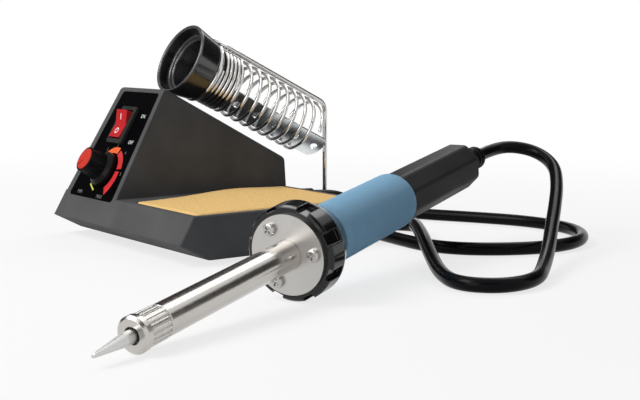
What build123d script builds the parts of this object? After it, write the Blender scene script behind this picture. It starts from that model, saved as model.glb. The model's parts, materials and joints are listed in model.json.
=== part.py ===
from build123d import *

import os
from math import atan2, cos, degrees, hypot, pi, radians, sin, sqrt, tan

# Soldering station: a moulded housing with a sloped control panel, a sponge tray and a
# spring holder for the iron, and the corded iron lying on the bench beside it.
# Millimetres. While it is built, X runs to the right from the left wall of the housing,
# Y to the rear from its front belt line and Z up from the bench.

# Housing
STATION_WIDTH = 125.0
STATION_DEPTH = 104.0
TOWER_HEIGHT = 73.0
TOWER_REAR_HEIGHT = 36.5
TOWER_WIDTH = 54.0
TOWER_DRAFT = 5.0
PANEL_TOP_SETBACK = 37.0
BELT_HEIGHT = 9.5
BELT_OVERHANG = 14.5
RIM_HEIGHT = 21.5
FOOT_HEIGHT = 2.0
WALL = 2.6
TOP_EDGE_ROUND = 2.4
EDGE_ROUND = 0.9

# Sponge tray and sponge
TRAY_DEPTH = 9.0
TRAY_FLOOR = 2.0
TRAY_RIM = 2.4
TRAY_REAR_RIM = 4.0
TRAY_LEDGE_FRONT = 14.0
TRAY_LEDGE_REAR = 2.0
TRAY_CORNER = 2.5
SPONGE_GAP = 0.4
SPONGE_SEAT_GAP = 0.2
SPONGE_PROUD = 1.0
SPONGE_ROUND = 1.6

# Bottom cover, its screws and the feet
COVER_THICKNESS = 2.4
COVER_GAP = 0.2
COVER_SCREW_INSET = 6.0
COVER_SCREW_HEAD = 2.6
COVER_SCREW_HEAD_DEPTH = 1.4
COVER_SCREW_SHANK = 1.3
COVER_SCREW_LENGTH = 8.0
SCREW_GAP = 0.1
BOSS_RADIUS = 3.6
FOOT_RADIUS = 5.0
FOOT_INSET = 15.0
FOOT_RECESS = 0.8
VENT_COUNT = 6
VENT_LENGTH = 24.0
VENT_WIDTH = 2.2
VENT_PITCH = 6.0

# Control panel plate on the front slope
PANEL_BOTTOM = 12.0
PANEL_TOP_MARGIN = 3.0
PANEL_LEFT_MARGIN = 4.2
PANEL_RIGHT_MARGIN = 3.4
PANEL_RECESS = 1.2
PANEL_THICKNESS = 1.0
PANEL_GAP = 0.15
PANEL_CORNER = 2.0

# Rocker switch
SWITCH_ACROSS = 26.4
SWITCH_UP = 51.8
BEZEL_WIDTH = 15.0
BEZEL_LENGTH = 20.0
BEZEL_HEIGHT = 1.8
SWITCH_BODY_WIDTH = 13.0
SWITCH_BODY_LENGTH = 18.4
SWITCH_BODY_DEPTH = 15.0
SWITCH_CUTOUT_GAP = 0.15
ROCKER_WIDTH = 10.4
ROCKER_HALF_LENGTH = 7.0
ROCKER_END_HEIGHT = 3.2
ROCKER_DIP = 1.5
ROCKER_SKIRT = 1.6
ROCKER_KEEL = 4.6
ROCKER_KEEL_HALF = 3.0
ROCKER_PIVOT_HEIGHT = 0.7
ROCKER_SWING = 20.0
ROCKER_SIDE_GAP = 0.35
ROCKER_END_GAP = 0.45
ROCKER_PIN = 1.0
PIN_RUNNING_GAP = 0.05
SWITCH_CAVITY_DEPTH = 9.0
TERMINAL_WIDTH = 4.8
TERMINAL_THICKNESS = 0.8
TERMINAL_LENGTH = 7.5
TERMINAL_PITCH = 7.0

# Temperature knob on its potentiometer
DIAL_ACROSS = 29.6
DIAL_UP = 27.4
KNOB_SKIRT_RADIUS = 8.8
KNOB_SKIRT_HEIGHT = 1.8
KNOB_RADIUS = 7.0
KNOB_TOP_RADIUS = 6.4
KNOB_HEIGHT = 12.4
KNOB_LIFT = 0.5
KNOB_FLUTES = 18
KNOB_FLUTE_RADIUS = 0.55
CAP_RADIUS = 5.4
CAP_THICKNESS = 1.0
CAP_PROUD = 0.3
CAP_GAP = 0.1
POINTER_GROOVE = 0.9
POINTER_DEPTH = 0.35
POINTER_ANGLE = 225.0
SHAFT_RADIUS = 3.0
SHAFT_TOP = 9.0
SHAFT_GAP = 0.05
POT_RADIUS = 8.2
POT_DEPTH = 9.0
POT_BUSH_RADIUS = 3.6
POT_BUSH_TOP = 2.2
POT_HOLE_GAP = 0.15
POT_NUT_ACROSS_FLATS = 9.6
POT_NUT_HEIGHT = 1.8
POT_NUT_GAP = 0.1
KNOB_NUT_ROOM = 0.5
POT_TAG_LENGTH = 5.0
POT_TAG_WIDTH = 1.6
POT_TAG_THICKNESS = 0.6
POT_TAG_PITCH = 5.0

# Power board inside the tower
BOARD_WIDTH = 38.0
BOARD_LENGTH = 48.0
BOARD_THICKNESS = 1.6
BOARD_LEFT = 8.0
BOARD_REAR_GAP = 3.4
BOARD_POST_HEIGHT = 4.0
BOARD_POST_RADIUS = 2.8
BOARD_SCREW_INSET = 4.0
BOARD_SCREW_SHANK = 1.0
BOARD_SCREW_HEAD = 1.9
BOARD_SCREW_HEAD_HEIGHT = 1.2
BOARD_SCREW_LENGTH = 5.5
TRIAC_WIDTH = 10.0
TRIAC_THICKNESS = 4.4
TRIAC_HEIGHT = 9.0
HEAT_SINK_WIDTH = 18.0
HEAT_SINK_HEIGHT = 14.0
HEAT_SINK_FIN = 1.2
HEAT_SINK_DEPTH = 7.0
HEAT_SINK_FINS = 5
CAPACITOR_RADIUS = 4.0
CAPACITOR_HEIGHT = 12.0
CHOKE_RADIUS = 6.0
CHOKE_TUBE = 2.2

# Spring holder
HOLDER_ACROSS = 34.0
HOLDER_SETBACK = 53.5
HOLDER_LIFT = 14.0
HOLDER_SLOPE = 26.0
FUNNEL_RIM_RADIUS = 18.5
FUNNEL_REAR_RADIUS = 16.2
FUNNEL_LENGTH = 13.5
FUNNEL_MOUTH_RADIUS = 16.8
FUNNEL_STEP = 6.0
FUNNEL_STEP_RADIUS = 13.0
THROAT_RADIUS = 10.5
RING_SEAT_LENGTH = 3.4
NECK_LENGTH = 11.5
SPRING_WIRE = 1.8
SPRING_RADIUS = 14.1
SPRING_NECK_GAP = 0.1
CLOSE_TURNS = 5
CLOSE_PITCH = 2.4
OPEN_TURNS = 9
OPEN_PITCH = 6.2
STAND_WIRE = 2.6
STAND_WIRE_LIFT = 17.0
STAND_WIRE_SIDE = 17.0
STAND_REAR_REACH = 92.0
STAND_BEND = 7.0
STAND_PLUG_HEIGHT = 9.0
STAND_PLUG_DEPTH = 10.0
SOCKET_RADIUS = 4.0
SOCKET_GAP = 0.1
SOCKET_END_GAP = 0.5
FRONT_SOCKET_DEPTH = 13.0
TROUGH_SHEET = 1.0
TROUGH_SPRING_GAP = 0.3
TROUGH_FLANGE = 14.0
TROUGH_OVERHANG = 11.0
TROUGH_NECK_GAP = 0.3
TROUGH_HOLE_RADIUS = 2.0
TROUGH_HOLES = 5
TROUGH_HOLE_PITCH = 13.5
TROUGH_CORNER = 5.0

# Glands on the rear wall
GLAND_ACROSS = 46.0
GLAND_HEIGHT = 14.0
GLAND_NECK_RADIUS = 5.0
GLAND_FLANGE_RADIUS = 7.0
GLAND_FLANGE = 1.8
GLAND_GAP = 0.15
GLAND_TAPER_LENGTH = 22.0
GLAND_TIP_RADIUS = 4.1
GLAND_RIBS = 5
GLAND_RIB_DEPTH = 0.6
GLAND_INSIDE = 3.0
MAINS_GLAND_ACROSS = 14.0
MAINS_GLAND_HEIGHT = 18.0
MAINS_BORE_RADIUS = 3.3
MAINS_GLAND_OUTSIDE = 6.0

# Iron, measured along its axis from the end of the tip
TIP_END_RADIUS = 0.7
TIP_CONE_LENGTH = 14.0
TIP_RADIUS = 2.3
TIP_BEVEL_ANGLE = 24.0
TIP_BEVEL_HEIGHT = 0.35
TIP_SHOULDER_RADIUS = 4.6
TIP_SHOULDER = 2.0
TIP_SHANK_RADIUS = 2.6
TIP_SHANK_LENGTH = 22.0
NUT_START = 18.0
NUT_FLANGE_RADIUS = 6.3
NUT_HOLE_RADIUS = 3.0
NUT_FLANGE = 3.0
NUT_RADIUS = 5.9
NUT_LENGTH = 13.0
NUT_LIP = 5.0
NUT_FLUTES = 22
NUT_FLUTE_RADIUS = 0.5
NUT_GAP = 0.1
BARREL_THREAD_RADIUS = 4.8
BARREL_RADIUS = 5.8
BARREL_BORE = 4.0
BARREL_FLARE_RADIUS = 7.6
BARREL_FLARE = 1.0
HEATER_RADIUS = 3.7
HEATER_LENGTH = 58.0
HEATER_GAP = 0.8
PLATE_START = 108.0
PLATE_RADIUS = 15.4
PLATE_THICKNESS = 1.6
PLATE_GAP = 0.05
PLATE_SCREWS = 3
PLATE_SCREW_TURN = 55.0
PLATE_SCREW_CIRCLE = 11.4
PLATE_SCREW_HEAD = 2.5
PLATE_SCREW_HEAD_HEIGHT = 1.8
PLATE_SCREW_SLOT = 0.7
PLATE_SCREW_SLOT_LENGTH = 3.2
PLATE_SCREW_SLOT_DEPTH = 0.8
PLATE_SCREW_SHANK = 1.2
PLATE_SCREW_LENGTH = 8.0
COLLAR_RADIUS = 18.4
COLLAR_LENGTH = 19.0
COLLAR_LAND = 8.0
COLLAR_REAR_RADIUS = 13.8
COLLAR_CHAMFER = 0.8
COLLAR_NOTCHES = 8
COLLAR_NOTCH_WIDTH = 4.8
COLLAR_NOTCH_DEPTH = 1.7
COLLAR_WALL = 4.0
GRIP_END = 192.0
GRIP_FRONT_RADIUS = 13.4
GRIP_RADIUS = 12.0
GRIP_FLARE = 9.0
GRIP_ROUND = 1.2
GRIP_GAP = 0.3
HANDLE_END = 265.0
HANDLE_RADIUS = 10.2
HANDLE_SIDES = 8
HANDLE_SIDE_ROUND = 3.0
HANDLE_END_RADIUS = 7.2
HANDLE_TAPER = 6.0
HANDLE_SPIGOT_RADIUS = 9.0
HANDLE_BORE = 6.4
HANDLE_GAP = 0.1
TERMINAL_BLOCK_START = 150.0
TERMINAL_BLOCK_LENGTH = 18.0
TERMINAL_BLOCK_RADIUS = 6.0
TERMINAL_BLOCK_GAP = 0.15
LEAD_RADIUS = 0.8
LEAD_SPACING = 2.2
BOOT_LENGTH = 13.0
BOOT_RADIUS = 5.4
BOOT_GROOVE_RADIUS = 3.9
BOOT_RINGS = 4
BOOT_PLUG = 8.0
BOOT_PLUG_RADIUS = 5.0

# Where the iron lies on the bench, and its cord
IRON_TIP_X = 251.7
IRON_TIP_Y = -102.4
IRON_HEADING = 113.0
CORD_DIAMETER = 6.0
CORD_EXIT_RUN = 18.0
CORD_ENTRY_RUN = 13.0

# Values worked out from the sizes above
slope_rise = TOWER_HEIGHT - BELT_HEIGHT
slope_length = hypot(PANEL_TOP_SETBACK, slope_rise)
rim_setback = PANEL_TOP_SETBACK * (RIM_HEIGHT - BELT_HEIGHT) / slope_rise
top_fall = (TOWER_HEIGHT - TOWER_REAR_HEIGHT) / (STATION_DEPTH - PANEL_TOP_SETBACK)
tray_floor_height = RIM_HEIGHT - TRAY_DEPTH
cover_top = FOOT_HEIGHT + COVER_THICKNESS
room_front = BELT_OVERHANG + WALL
room_rear = STATION_DEPTH - WALL
board_rear = room_rear - STAND_PLUG_DEPTH - BOARD_REAR_GAP
board_front = board_rear - BOARD_LENGTH
room_top = tray_floor_height - TRAY_FLOOR
panel_top = slope_length - PANEL_TOP_MARGIN
front_slope = Plane(
    origin=(0, 0, BELT_HEIGHT),
    x_dir=(1, 0, 0),
    z_dir=(0, -slope_rise, PANEL_TOP_SETBACK),
)
panel_floor = front_slope.offset(-PANEL_RECESS)
panel_face = front_slope.offset(PANEL_THICKNESS - PANEL_RECESS)


def on_panel(across, up, height=0.0):
    """A plane on the face of the panel plate, at a place across and up it."""
    return Plane(
        origin=panel_face.from_local_coords(Vector(across, up, height)),
        x_dir=panel_face.x_dir,
        z_dir=panel_face.z_dir,
    )


def panel_sides(up):
    """The left and right edge of the tower's front slope at a height up it."""
    lean = TOWER_DRAFT * up / slope_length
    rim_up = slope_length * (RIM_HEIGHT - BELT_HEIGHT) / slope_rise
    right_lean = TOWER_DRAFT * max(up - rim_up, 0.0) / (slope_length - rim_up)
    return lean, TOWER_WIDTH - right_lean


def panel_outline(gap):
    """Corner points of the panel plate, drawn in by a gap."""
    low_left, low_right = panel_sides(PANEL_BOTTOM)
    high_left, high_right = panel_sides(panel_top)
    return [
        (low_left + PANEL_LEFT_MARGIN + gap, PANEL_BOTTOM + gap),
        (low_right - PANEL_RIGHT_MARGIN - gap, PANEL_BOTTOM + gap),
        (high_right - PANEL_RIGHT_MARGIN - gap, panel_top - gap),
        (high_left + PANEL_LEFT_MARGIN + gap, panel_top - gap),
    ]


def tray_outline(gap):
    """Corner points of the sponge tray in plan, drawn in by a gap."""
    front = rim_setback + TRAY_RIM + gap
    rear = STATION_DEPTH - TRAY_REAR_RIM - gap
    right = STATION_WIDTH - TRAY_RIM - gap
    return [
        (TOWER_WIDTH + TRAY_LEDGE_FRONT + gap, front),
        (right, front),
        (right, rear),
        (TOWER_WIDTH + TRAY_LEDGE_REAR + gap, rear),
    ]


def side_profile():
    """Side view of the tower, from the undercut below the belt to the rear wall."""
    return [
        (BELT_OVERHANG, FOOT_HEIGHT),
        (0, BELT_HEIGHT),
        (PANEL_TOP_SETBACK, TOWER_HEIGHT),
        (STATION_DEPTH, TOWER_REAR_HEIGHT),
        (STATION_DEPTH, FOOT_HEIGHT),
    ]


def tower_section(wall):
    """Front view of the tower, with its drafted sides moved in by a wall."""
    return [
        (wall, FOOT_HEIGHT),
        (TOWER_WIDTH - wall, FOOT_HEIGHT),
        (TOWER_WIDTH - wall, RIM_HEIGHT),
        (TOWER_WIDTH - TOWER_DRAFT - wall, TOWER_HEIGHT),
        (TOWER_DRAFT + wall, TOWER_HEIGHT),
        (wall, BELT_HEIGHT),
    ]


cover_screw_places = [
    (x, y)
    for x in (COVER_SCREW_INSET, STATION_WIDTH - COVER_SCREW_INSET)
    for y in (BELT_OVERHANG + COVER_SCREW_INSET, STATION_DEPTH - COVER_SCREW_INSET)
]
foot_places = [
    (x, y)
    for x in (FOOT_INSET, STATION_WIDTH - FOOT_INSET)
    for y in (BELT_OVERHANG + FOOT_INSET, STATION_DEPTH - FOOT_INSET)
]
board_screw_places = [
    (BOARD_LEFT + x, board_front + y)
    for x in (BOARD_SCREW_INSET, BOARD_WIDTH - BOARD_SCREW_INSET)
    for y in (BOARD_SCREW_INSET, BOARD_LENGTH - BOARD_SCREW_INSET)
]
board_bottom = cover_top + BOARD_POST_HEIGHT
board_top = board_bottom + BOARD_THICKNESS

# Holder frame: its Z axis runs from the funnel's mouth down to the rear
holder = Plane(
    origin=(HOLDER_ACROSS, HOLDER_SETBACK, TOWER_HEIGHT + HOLDER_LIFT),
    x_dir=(1, 0, 0),
    z_dir=(0, cos(radians(HOLDER_SLOPE)), -sin(radians(HOLDER_SLOPE))),
)
ring_place = FUNNEL_LENGTH + RING_SEAT_LENGTH / 2
neck_start = FUNNEL_LENGTH + RING_SEAT_LENGTH
neck_end = neck_start + NECK_LENGTH
ring_seat_radius = SPRING_RADIUS + SPRING_WIRE / 2 - SPRING_NECK_GAP
neck_radius = SPRING_RADIUS - SPRING_WIRE / 2 - SPRING_NECK_GAP
leg_point = holder.from_local_coords(Vector(-STAND_WIRE_SIDE, 0, ring_place))
leg_up = holder.y_dir if holder.y_dir.Z > 0 else -holder.y_dir
leg_drop = leg_point.Z - TOWER_HEIGHT + top_fall * (leg_point.Y - PANEL_TOP_SETBACK)
leg_foot = leg_point - leg_up * (leg_drop / (leg_up.Z + top_fall * leg_up.Y))
leg_end = leg_foot - leg_up * FRONT_SOCKET_DEPTH

# Body of the housing's hollow tower
with BuildPart() as tower_room:
    with BuildSketch(Plane.XZ):
        with BuildLine():
            Polyline(*tower_section(WALL), close=True)
        make_face()
    extrude(amount=-STATION_DEPTH)
    with BuildSketch(Plane.YZ):
        with BuildLine():
            Polyline(*side_profile(), close=True)
        make_face()
        offset(amount=-WALL, kind=Kind.INTERSECTION)
    extrude(amount=TOWER_WIDTH, mode=Mode.INTERSECT)

# Housing shell
with BuildPart() as housing_shell:
    with BuildSketch(Plane.XZ):
        with BuildLine():
            Polyline(*tower_section(0), close=True)
        make_face()
    extrude(amount=-STATION_DEPTH)
    with BuildSketch(Plane.YZ):
        with BuildLine():
            Polyline(*side_profile(), close=True)
        make_face()
    extrude(amount=TOWER_WIDTH, mode=Mode.INTERSECT)
    with BuildSketch(Plane.YZ):
        with BuildLine():
            Polyline(
                (BELT_OVERHANG, FOOT_HEIGHT),
                (0, BELT_HEIGHT),
                (rim_setback, RIM_HEIGHT),
                (STATION_DEPTH, RIM_HEIGHT),
                (STATION_DEPTH, FOOT_HEIGHT),
                close=True,
            )
        make_face()
    extrude(amount=STATION_WIDTH)
    top_edges = housing_shell.edges().filter_by(
        lambda edge: min(corner.Z for corner in edge.vertices()) > TOWER_REAR_HEIGHT - WALL
    )
    fillet(top_edges, radius=TOP_EDGE_ROUND)
    right_edges = housing_shell.faces().sort_by(Axis.X)[-1].edges()
    fillet(right_edges.filter_by(lambda edge: edge.center().Z > FOOT_HEIGHT + WALL), radius=EDGE_ROUND)
    with BuildSketch(Plane.XY.offset(RIM_HEIGHT)):
        with BuildLine():
            Polyline(*tray_outline(0), close=True)
        make_face()
        fillet(vertices(), radius=TRAY_CORNER)
    extrude(amount=-TRAY_DEPTH, mode=Mode.SUBTRACT)
    add(tower_room.part, mode=Mode.SUBTRACT)
    with BuildSketch(Plane.XY.offset(FOOT_HEIGHT)):
        with Locations((STATION_WIDTH / 2, (room_front + room_rear) / 2)):
            Rectangle(STATION_WIDTH - 2 * WALL, room_rear - room_front)
    extrude(amount=room_top - FOOT_HEIGHT, mode=Mode.SUBTRACT)
    with BuildSketch(Plane.XY.offset(cover_top)):
        with Locations(*cover_screw_places):
            Circle(BOSS_RADIUS)
    extrude(amount=room_top - cover_top)
    with BuildSketch(Plane.XY.offset(cover_top)):
        with Locations(*cover_screw_places):
            Circle(COVER_SCREW_SHANK + SCREW_GAP)
    extrude(amount=COVER_SCREW_LENGTH - COVER_THICKNESS + WALL, mode=Mode.SUBTRACT)
    with BuildSketch(front_slope):
        with BuildLine():
            Polyline(*panel_outline(0), close=True)
        make_face()
        fillet(vertices(), radius=PANEL_CORNER)
    extrude(amount=-PANEL_RECESS, mode=Mode.SUBTRACT)
    with BuildSketch(front_slope):
        with Locations((SWITCH_ACROSS, SWITCH_UP)):
            Rectangle(SWITCH_BODY_WIDTH + 2 * SWITCH_CUTOUT_GAP, SWITCH_BODY_LENGTH + 2 * SWITCH_CUTOUT_GAP)
        with Locations((DIAL_ACROSS, DIAL_UP)):
            Circle(POT_BUSH_RADIUS + POT_HOLE_GAP)
    extrude(amount=-2 * WALL, mode=Mode.SUBTRACT)
    socket_floor = leg_end - leg_up * (SOCKET_END_GAP + WALL)
    with BuildSketch(Plane(origin=socket_floor, x_dir=(1, 0, 0), z_dir=leg_up)):
        Circle(SOCKET_RADIUS)
    extrude(amount=FRONT_SOCKET_DEPTH + SOCKET_END_GAP)
    with BuildSketch(Plane(origin=leg_end - leg_up * SOCKET_END_GAP, x_dir=(1, 0, 0), z_dir=leg_up)):
        Circle(STAND_WIRE / 2 + SOCKET_GAP)
    extrude(amount=FRONT_SOCKET_DEPTH + SOCKET_RADIUS, mode=Mode.SUBTRACT)
    rear_wall = Plane.XZ.offset(-STATION_DEPTH)
    with BuildSketch(rear_wall.offset(WALL)):
        with Locations((HOLDER_ACROSS, STAND_PLUG_HEIGHT)):
            Circle(SOCKET_RADIUS)
    extrude(amount=STAND_PLUG_DEPTH)
    with BuildSketch(rear_wall):
        with Locations((HOLDER_ACROSS, STAND_PLUG_HEIGHT)):
            Circle(STAND_WIRE / 2 + SOCKET_GAP)
    extrude(amount=STAND_PLUG_DEPTH + SOCKET_END_GAP, mode=Mode.SUBTRACT)
    with BuildSketch(rear_wall):
        with Locations((GLAND_ACROSS, GLAND_HEIGHT), (MAINS_GLAND_ACROSS, MAINS_GLAND_HEIGHT)):
            Circle(GLAND_NECK_RADIUS + GLAND_GAP)
    extrude(amount=2 * WALL, mode=Mode.SUBTRACT)

# Bottom cover
with BuildPart() as bottom_cover:
    with BuildSketch(Plane.XY.offset(FOOT_HEIGHT)):
        with Locations((STATION_WIDTH / 2, (room_front + room_rear) / 2)):
            Rectangle(
                STATION_WIDTH - 2 * (WALL + COVER_GAP), room_rear - room_front - 2 * COVER_GAP
            )
    extrude(amount=COVER_THICKNESS)
    with BuildSketch(Plane.XY.offset(cover_top)):
        with Locations(*board_screw_places):
            Circle(BOARD_POST_RADIUS)
    extrude(amount=BOARD_POST_HEIGHT)
    with BuildSketch(Plane.XY.offset(board_bottom)):
        with Locations(*board_screw_places):
            Circle(BOARD_SCREW_SHANK + SCREW_GAP)
    extrude(amount=-BOARD_POST_HEIGHT, mode=Mode.SUBTRACT)
    with BuildSketch(Plane.XY.offset(FOOT_HEIGHT)):
        with Locations(*cover_screw_places):
            Circle(COVER_SCREW_SHANK + SCREW_GAP)
        with Locations((STATION_WIDTH / 2, (room_front + room_rear) / 2)):
            with GridLocations(VENT_PITCH, 1, VENT_COUNT, 1):
                SlotOverall(VENT_LENGTH, VENT_WIDTH, rotation=90)
    extrude(amount=COVER_THICKNESS, mode=Mode.SUBTRACT)
    with BuildSketch(Plane.XY.offset(FOOT_HEIGHT)):
        with Locations(*cover_screw_places):
            Circle(COVER_SCREW_HEAD + SCREW_GAP)
    extrude(amount=COVER_SCREW_HEAD_DEPTH, mode=Mode.SUBTRACT)
    with BuildSketch(Plane.XY.offset(FOOT_HEIGHT)):
        with Locations(*foot_places):
            Circle(FOOT_RADIUS + COVER_GAP)
    extrude(amount=FOOT_RECESS, mode=Mode.SUBTRACT)

with BuildPart() as cover_screws:
    with BuildSketch(Plane.XY.offset(FOOT_HEIGHT)):
        with Locations(*cover_screw_places):
            Circle(COVER_SCREW_HEAD)
    extrude(amount=COVER_SCREW_HEAD_DEPTH)
    with BuildSketch(Plane.XY.offset(FOOT_HEIGHT)):
        with Locations(*cover_screw_places):
            Circle(COVER_SCREW_SHANK)
    extrude(amount=COVER_SCREW_LENGTH)

with BuildPart() as rubber_feet:
    with BuildSketch():
        with Locations(*foot_places):
            Circle(FOOT_RADIUS)
    extrude(amount=FOOT_HEIGHT + FOOT_RECESS)
    fillet(rubber_feet.faces().group_by(Axis.Z)[0].edges(), radius=FOOT_RECESS)

# Control panel plate
with BuildPart() as control_panel:
    with BuildSketch(panel_floor):
        with BuildLine():
            Polyline(*panel_outline(PANEL_GAP), close=True)
        make_face()
        fillet(vertices(), radius=PANEL_CORNER)
        with Locations((SWITCH_ACROSS, SWITCH_UP)):
            Rectangle(
                SWITCH_BODY_WIDTH + 2 * SWITCH_CUTOUT_GAP,
                SWITCH_BODY_LENGTH + 2 * SWITCH_CUTOUT_GAP,
                mode=Mode.SUBTRACT,
            )
        with Locations((DIAL_ACROSS, DIAL_UP)):
            Circle(POT_BUSH_RADIUS + POT_HOLE_GAP, mode=Mode.SUBTRACT)
    extrude(amount=PANEL_THICKNESS)

# Rocker switch: frame, terminals and rocker
switch_face = on_panel(SWITCH_ACROSS, SWITCH_UP)
rocker_radius = hypot(ROCKER_HALF_LENGTH, ROCKER_END_HEIGHT)
rocker_reach = rocker_radius * cos(atan2(ROCKER_END_HEIGHT, ROCKER_HALF_LENGTH) - radians(ROCKER_SWING / 2))
with BuildPart() as switch_frame:
    with BuildSketch(switch_face):
        RectangleRounded(BEZEL_WIDTH, BEZEL_LENGTH, PANEL_CORNER / 2)
    extrude(amount=BEZEL_HEIGHT)
    chamfer(switch_frame.faces().sort_by(Axis(switch_face.origin, switch_face.z_dir))[-1].edges(), ROCKER_END_GAP)
    with BuildSketch(switch_face):
        Rectangle(SWITCH_BODY_WIDTH, SWITCH_BODY_LENGTH)
    extrude(amount=-SWITCH_BODY_DEPTH)
    with BuildSketch(switch_face.offset(BEZEL_HEIGHT)):
        Rectangle(ROCKER_WIDTH + 2 * ROCKER_SIDE_GAP, 2 * (rocker_reach + ROCKER_END_GAP))
    extrude(amount=-BEZEL_HEIGHT - SWITCH_CAVITY_DEPTH, mode=Mode.SUBTRACT)
    pin_plane = Plane(
        origin=switch_face.from_local_coords(Vector(-BEZEL_WIDTH / 2, 0, ROCKER_PIVOT_HEIGHT)),
        x_dir=switch_face.y_dir,
        z_dir=switch_face.x_dir,
    )
    with BuildSketch(pin_plane.offset(BEZEL_WIDTH / 2 - ROCKER_WIDTH / 2 - 2 * ROCKER_SIDE_GAP - ROCKER_PIN)):
        Circle(ROCKER_PIN + PIN_RUNNING_GAP)
    extrude(amount=ROCKER_WIDTH + 4 * ROCKER_SIDE_GAP + 2 * ROCKER_PIN, mode=Mode.SUBTRACT)

with BuildPart() as switch_terminals:
    with BuildSketch(switch_face.offset(-SWITCH_BODY_DEPTH)):
        with GridLocations(1, TERMINAL_PITCH, 1, 2):
            Rectangle(TERMINAL_WIDTH, TERMINAL_THICKNESS)
    extrude(amount=-TERMINAL_LENGTH)

rocker_turn = radians(ROCKER_SWING / 2)
rocker_plane = Plane(
    origin=switch_face.from_local_coords(Vector(0, 0, ROCKER_PIVOT_HEIGHT)),
    x_dir=switch_face.y_dir * cos(rocker_turn) + switch_face.z_dir * sin(rocker_turn),
    z_dir=switch_face.x_dir,
)
with BuildPart() as rocker_switch:
    with BuildSketch(rocker_plane):
        with BuildLine():
            Polyline(
                (ROCKER_HALF_LENGTH, -ROCKER_SKIRT),
                (ROCKER_HALF_LENGTH, ROCKER_END_HEIGHT),
                (0, ROCKER_DIP),
                (-ROCKER_HALF_LENGTH, ROCKER_END_HEIGHT),
                (-ROCKER_HALF_LENGTH, -ROCKER_SKIRT),
                (-ROCKER_KEEL_HALF, -ROCKER_KEEL),
                (ROCKER_KEEL_HALF, -ROCKER_KEEL),
                close=True,
            )
        make_face()
    extrude(amount=ROCKER_WIDTH / 2, both=True)
    fillet(rocker_switch.faces().filter_by(Axis((0, 0, 0), tuple(rocker_plane.z_dir))).edges(), radius=ROCKER_END_GAP)
    with BuildSketch(rocker_plane.offset(-ROCKER_WIDTH / 2 - ROCKER_SIDE_GAP - ROCKER_PIN)):
        Circle(ROCKER_PIN)
    extrude(amount=ROCKER_WIDTH + 2 * (ROCKER_SIDE_GAP + ROCKER_PIN))

# Temperature control: potentiometer, nut, shaft, knob and cap
dial_face = on_panel(DIAL_ACROSS, DIAL_UP)
pot_mouth = -(WALL - PANEL_RECESS + PANEL_THICKNESS)
with BuildPart() as potentiometer:
    with BuildSketch(dial_face.offset(pot_mouth)):
        Circle(POT_RADIUS)
    extrude(amount=-POT_DEPTH)
    with BuildSketch(dial_face.offset(pot_mouth)):
        Circle(POT_BUSH_RADIUS)
    extrude(amount=POT_BUSH_TOP - pot_mouth)
    with BuildSketch(dial_face.offset(pot_mouth - POT_DEPTH / 2)):
        Circle(SHAFT_RADIUS + SHAFT_GAP)
    extrude(amount=POT_DEPTH + POT_BUSH_TOP - pot_mouth, mode=Mode.SUBTRACT)
    with BuildSketch(dial_face.offset(pot_mouth - POT_DEPTH + POT_TAG_THICKNESS)):
        with Locations((0, -POT_RADIUS)):
            with GridLocations(POT_TAG_PITCH, 1, 3, 1):
                Rectangle(POT_TAG_WIDTH, 2 * POT_TAG_LENGTH)
    extrude(amount=POT_TAG_THICKNESS)

with BuildPart() as potentiometer_nut:
    with BuildSketch(dial_face):
        RegularPolygon(POT_NUT_ACROSS_FLATS / 2, 6, major_radius=False)
        Circle(POT_BUSH_RADIUS + POT_NUT_GAP, mode=Mode.SUBTRACT)
    extrude(amount=POT_NUT_HEIGHT)

with BuildPart() as potentiometer_shaft:
    with BuildSketch(dial_face.offset(pot_mouth - POT_DEPTH / 2 + SOCKET_END_GAP)):
        Circle(SHAFT_RADIUS)
    extrude(amount=SHAFT_TOP - pot_mouth + POT_DEPTH / 2 - SOCKET_END_GAP)

nut_room_radius = POT_NUT_ACROSS_FLATS / sqrt(3) + KNOB_NUT_ROOM
nut_room_top = max(POT_NUT_HEIGHT, POT_BUSH_TOP) + KNOB_NUT_ROOM
cap_floor = KNOB_HEIGHT - CAP_THICKNESS
knob_profile = Plane(origin=dial_face.origin, x_dir=dial_face.x_dir, z_dir=-dial_face.y_dir)
with BuildPart() as temperature_knob:
    with BuildSketch(knob_profile):
        with BuildLine():
            Polyline(
                (nut_room_radius, KNOB_LIFT),
                (KNOB_SKIRT_RADIUS, KNOB_LIFT),
                (KNOB_SKIRT_RADIUS, KNOB_LIFT + KNOB_SKIRT_HEIGHT),
                (KNOB_RADIUS, KNOB_LIFT + 2 * KNOB_SKIRT_HEIGHT),
                (KNOB_TOP_RADIUS, KNOB_HEIGHT),
                (CAP_RADIUS + CAP_GAP, KNOB_HEIGHT),
                (CAP_RADIUS + CAP_GAP, cap_floor),
                (0, cap_floor),
                (0, SHAFT_TOP + CAP_GAP),
                (SHAFT_RADIUS + SHAFT_GAP, SHAFT_TOP + CAP_GAP),
                (SHAFT_RADIUS + SHAFT_GAP, nut_room_top),
                (nut_room_radius, nut_room_top),
                close=True,
            )
        make_face()
    revolve(axis=Axis(dial_face.origin, dial_face.z_dir))
    with BuildSketch(dial_face.offset(KNOB_LIFT + 2 * KNOB_SKIRT_HEIGHT)):
        with PolarLocations(KNOB_RADIUS + KNOB_FLUTE_RADIUS / 3, KNOB_FLUTES):
            Circle(KNOB_FLUTE_RADIUS)
    extrude(amount=KNOB_HEIGHT, mode=Mode.SUBTRACT)

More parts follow.
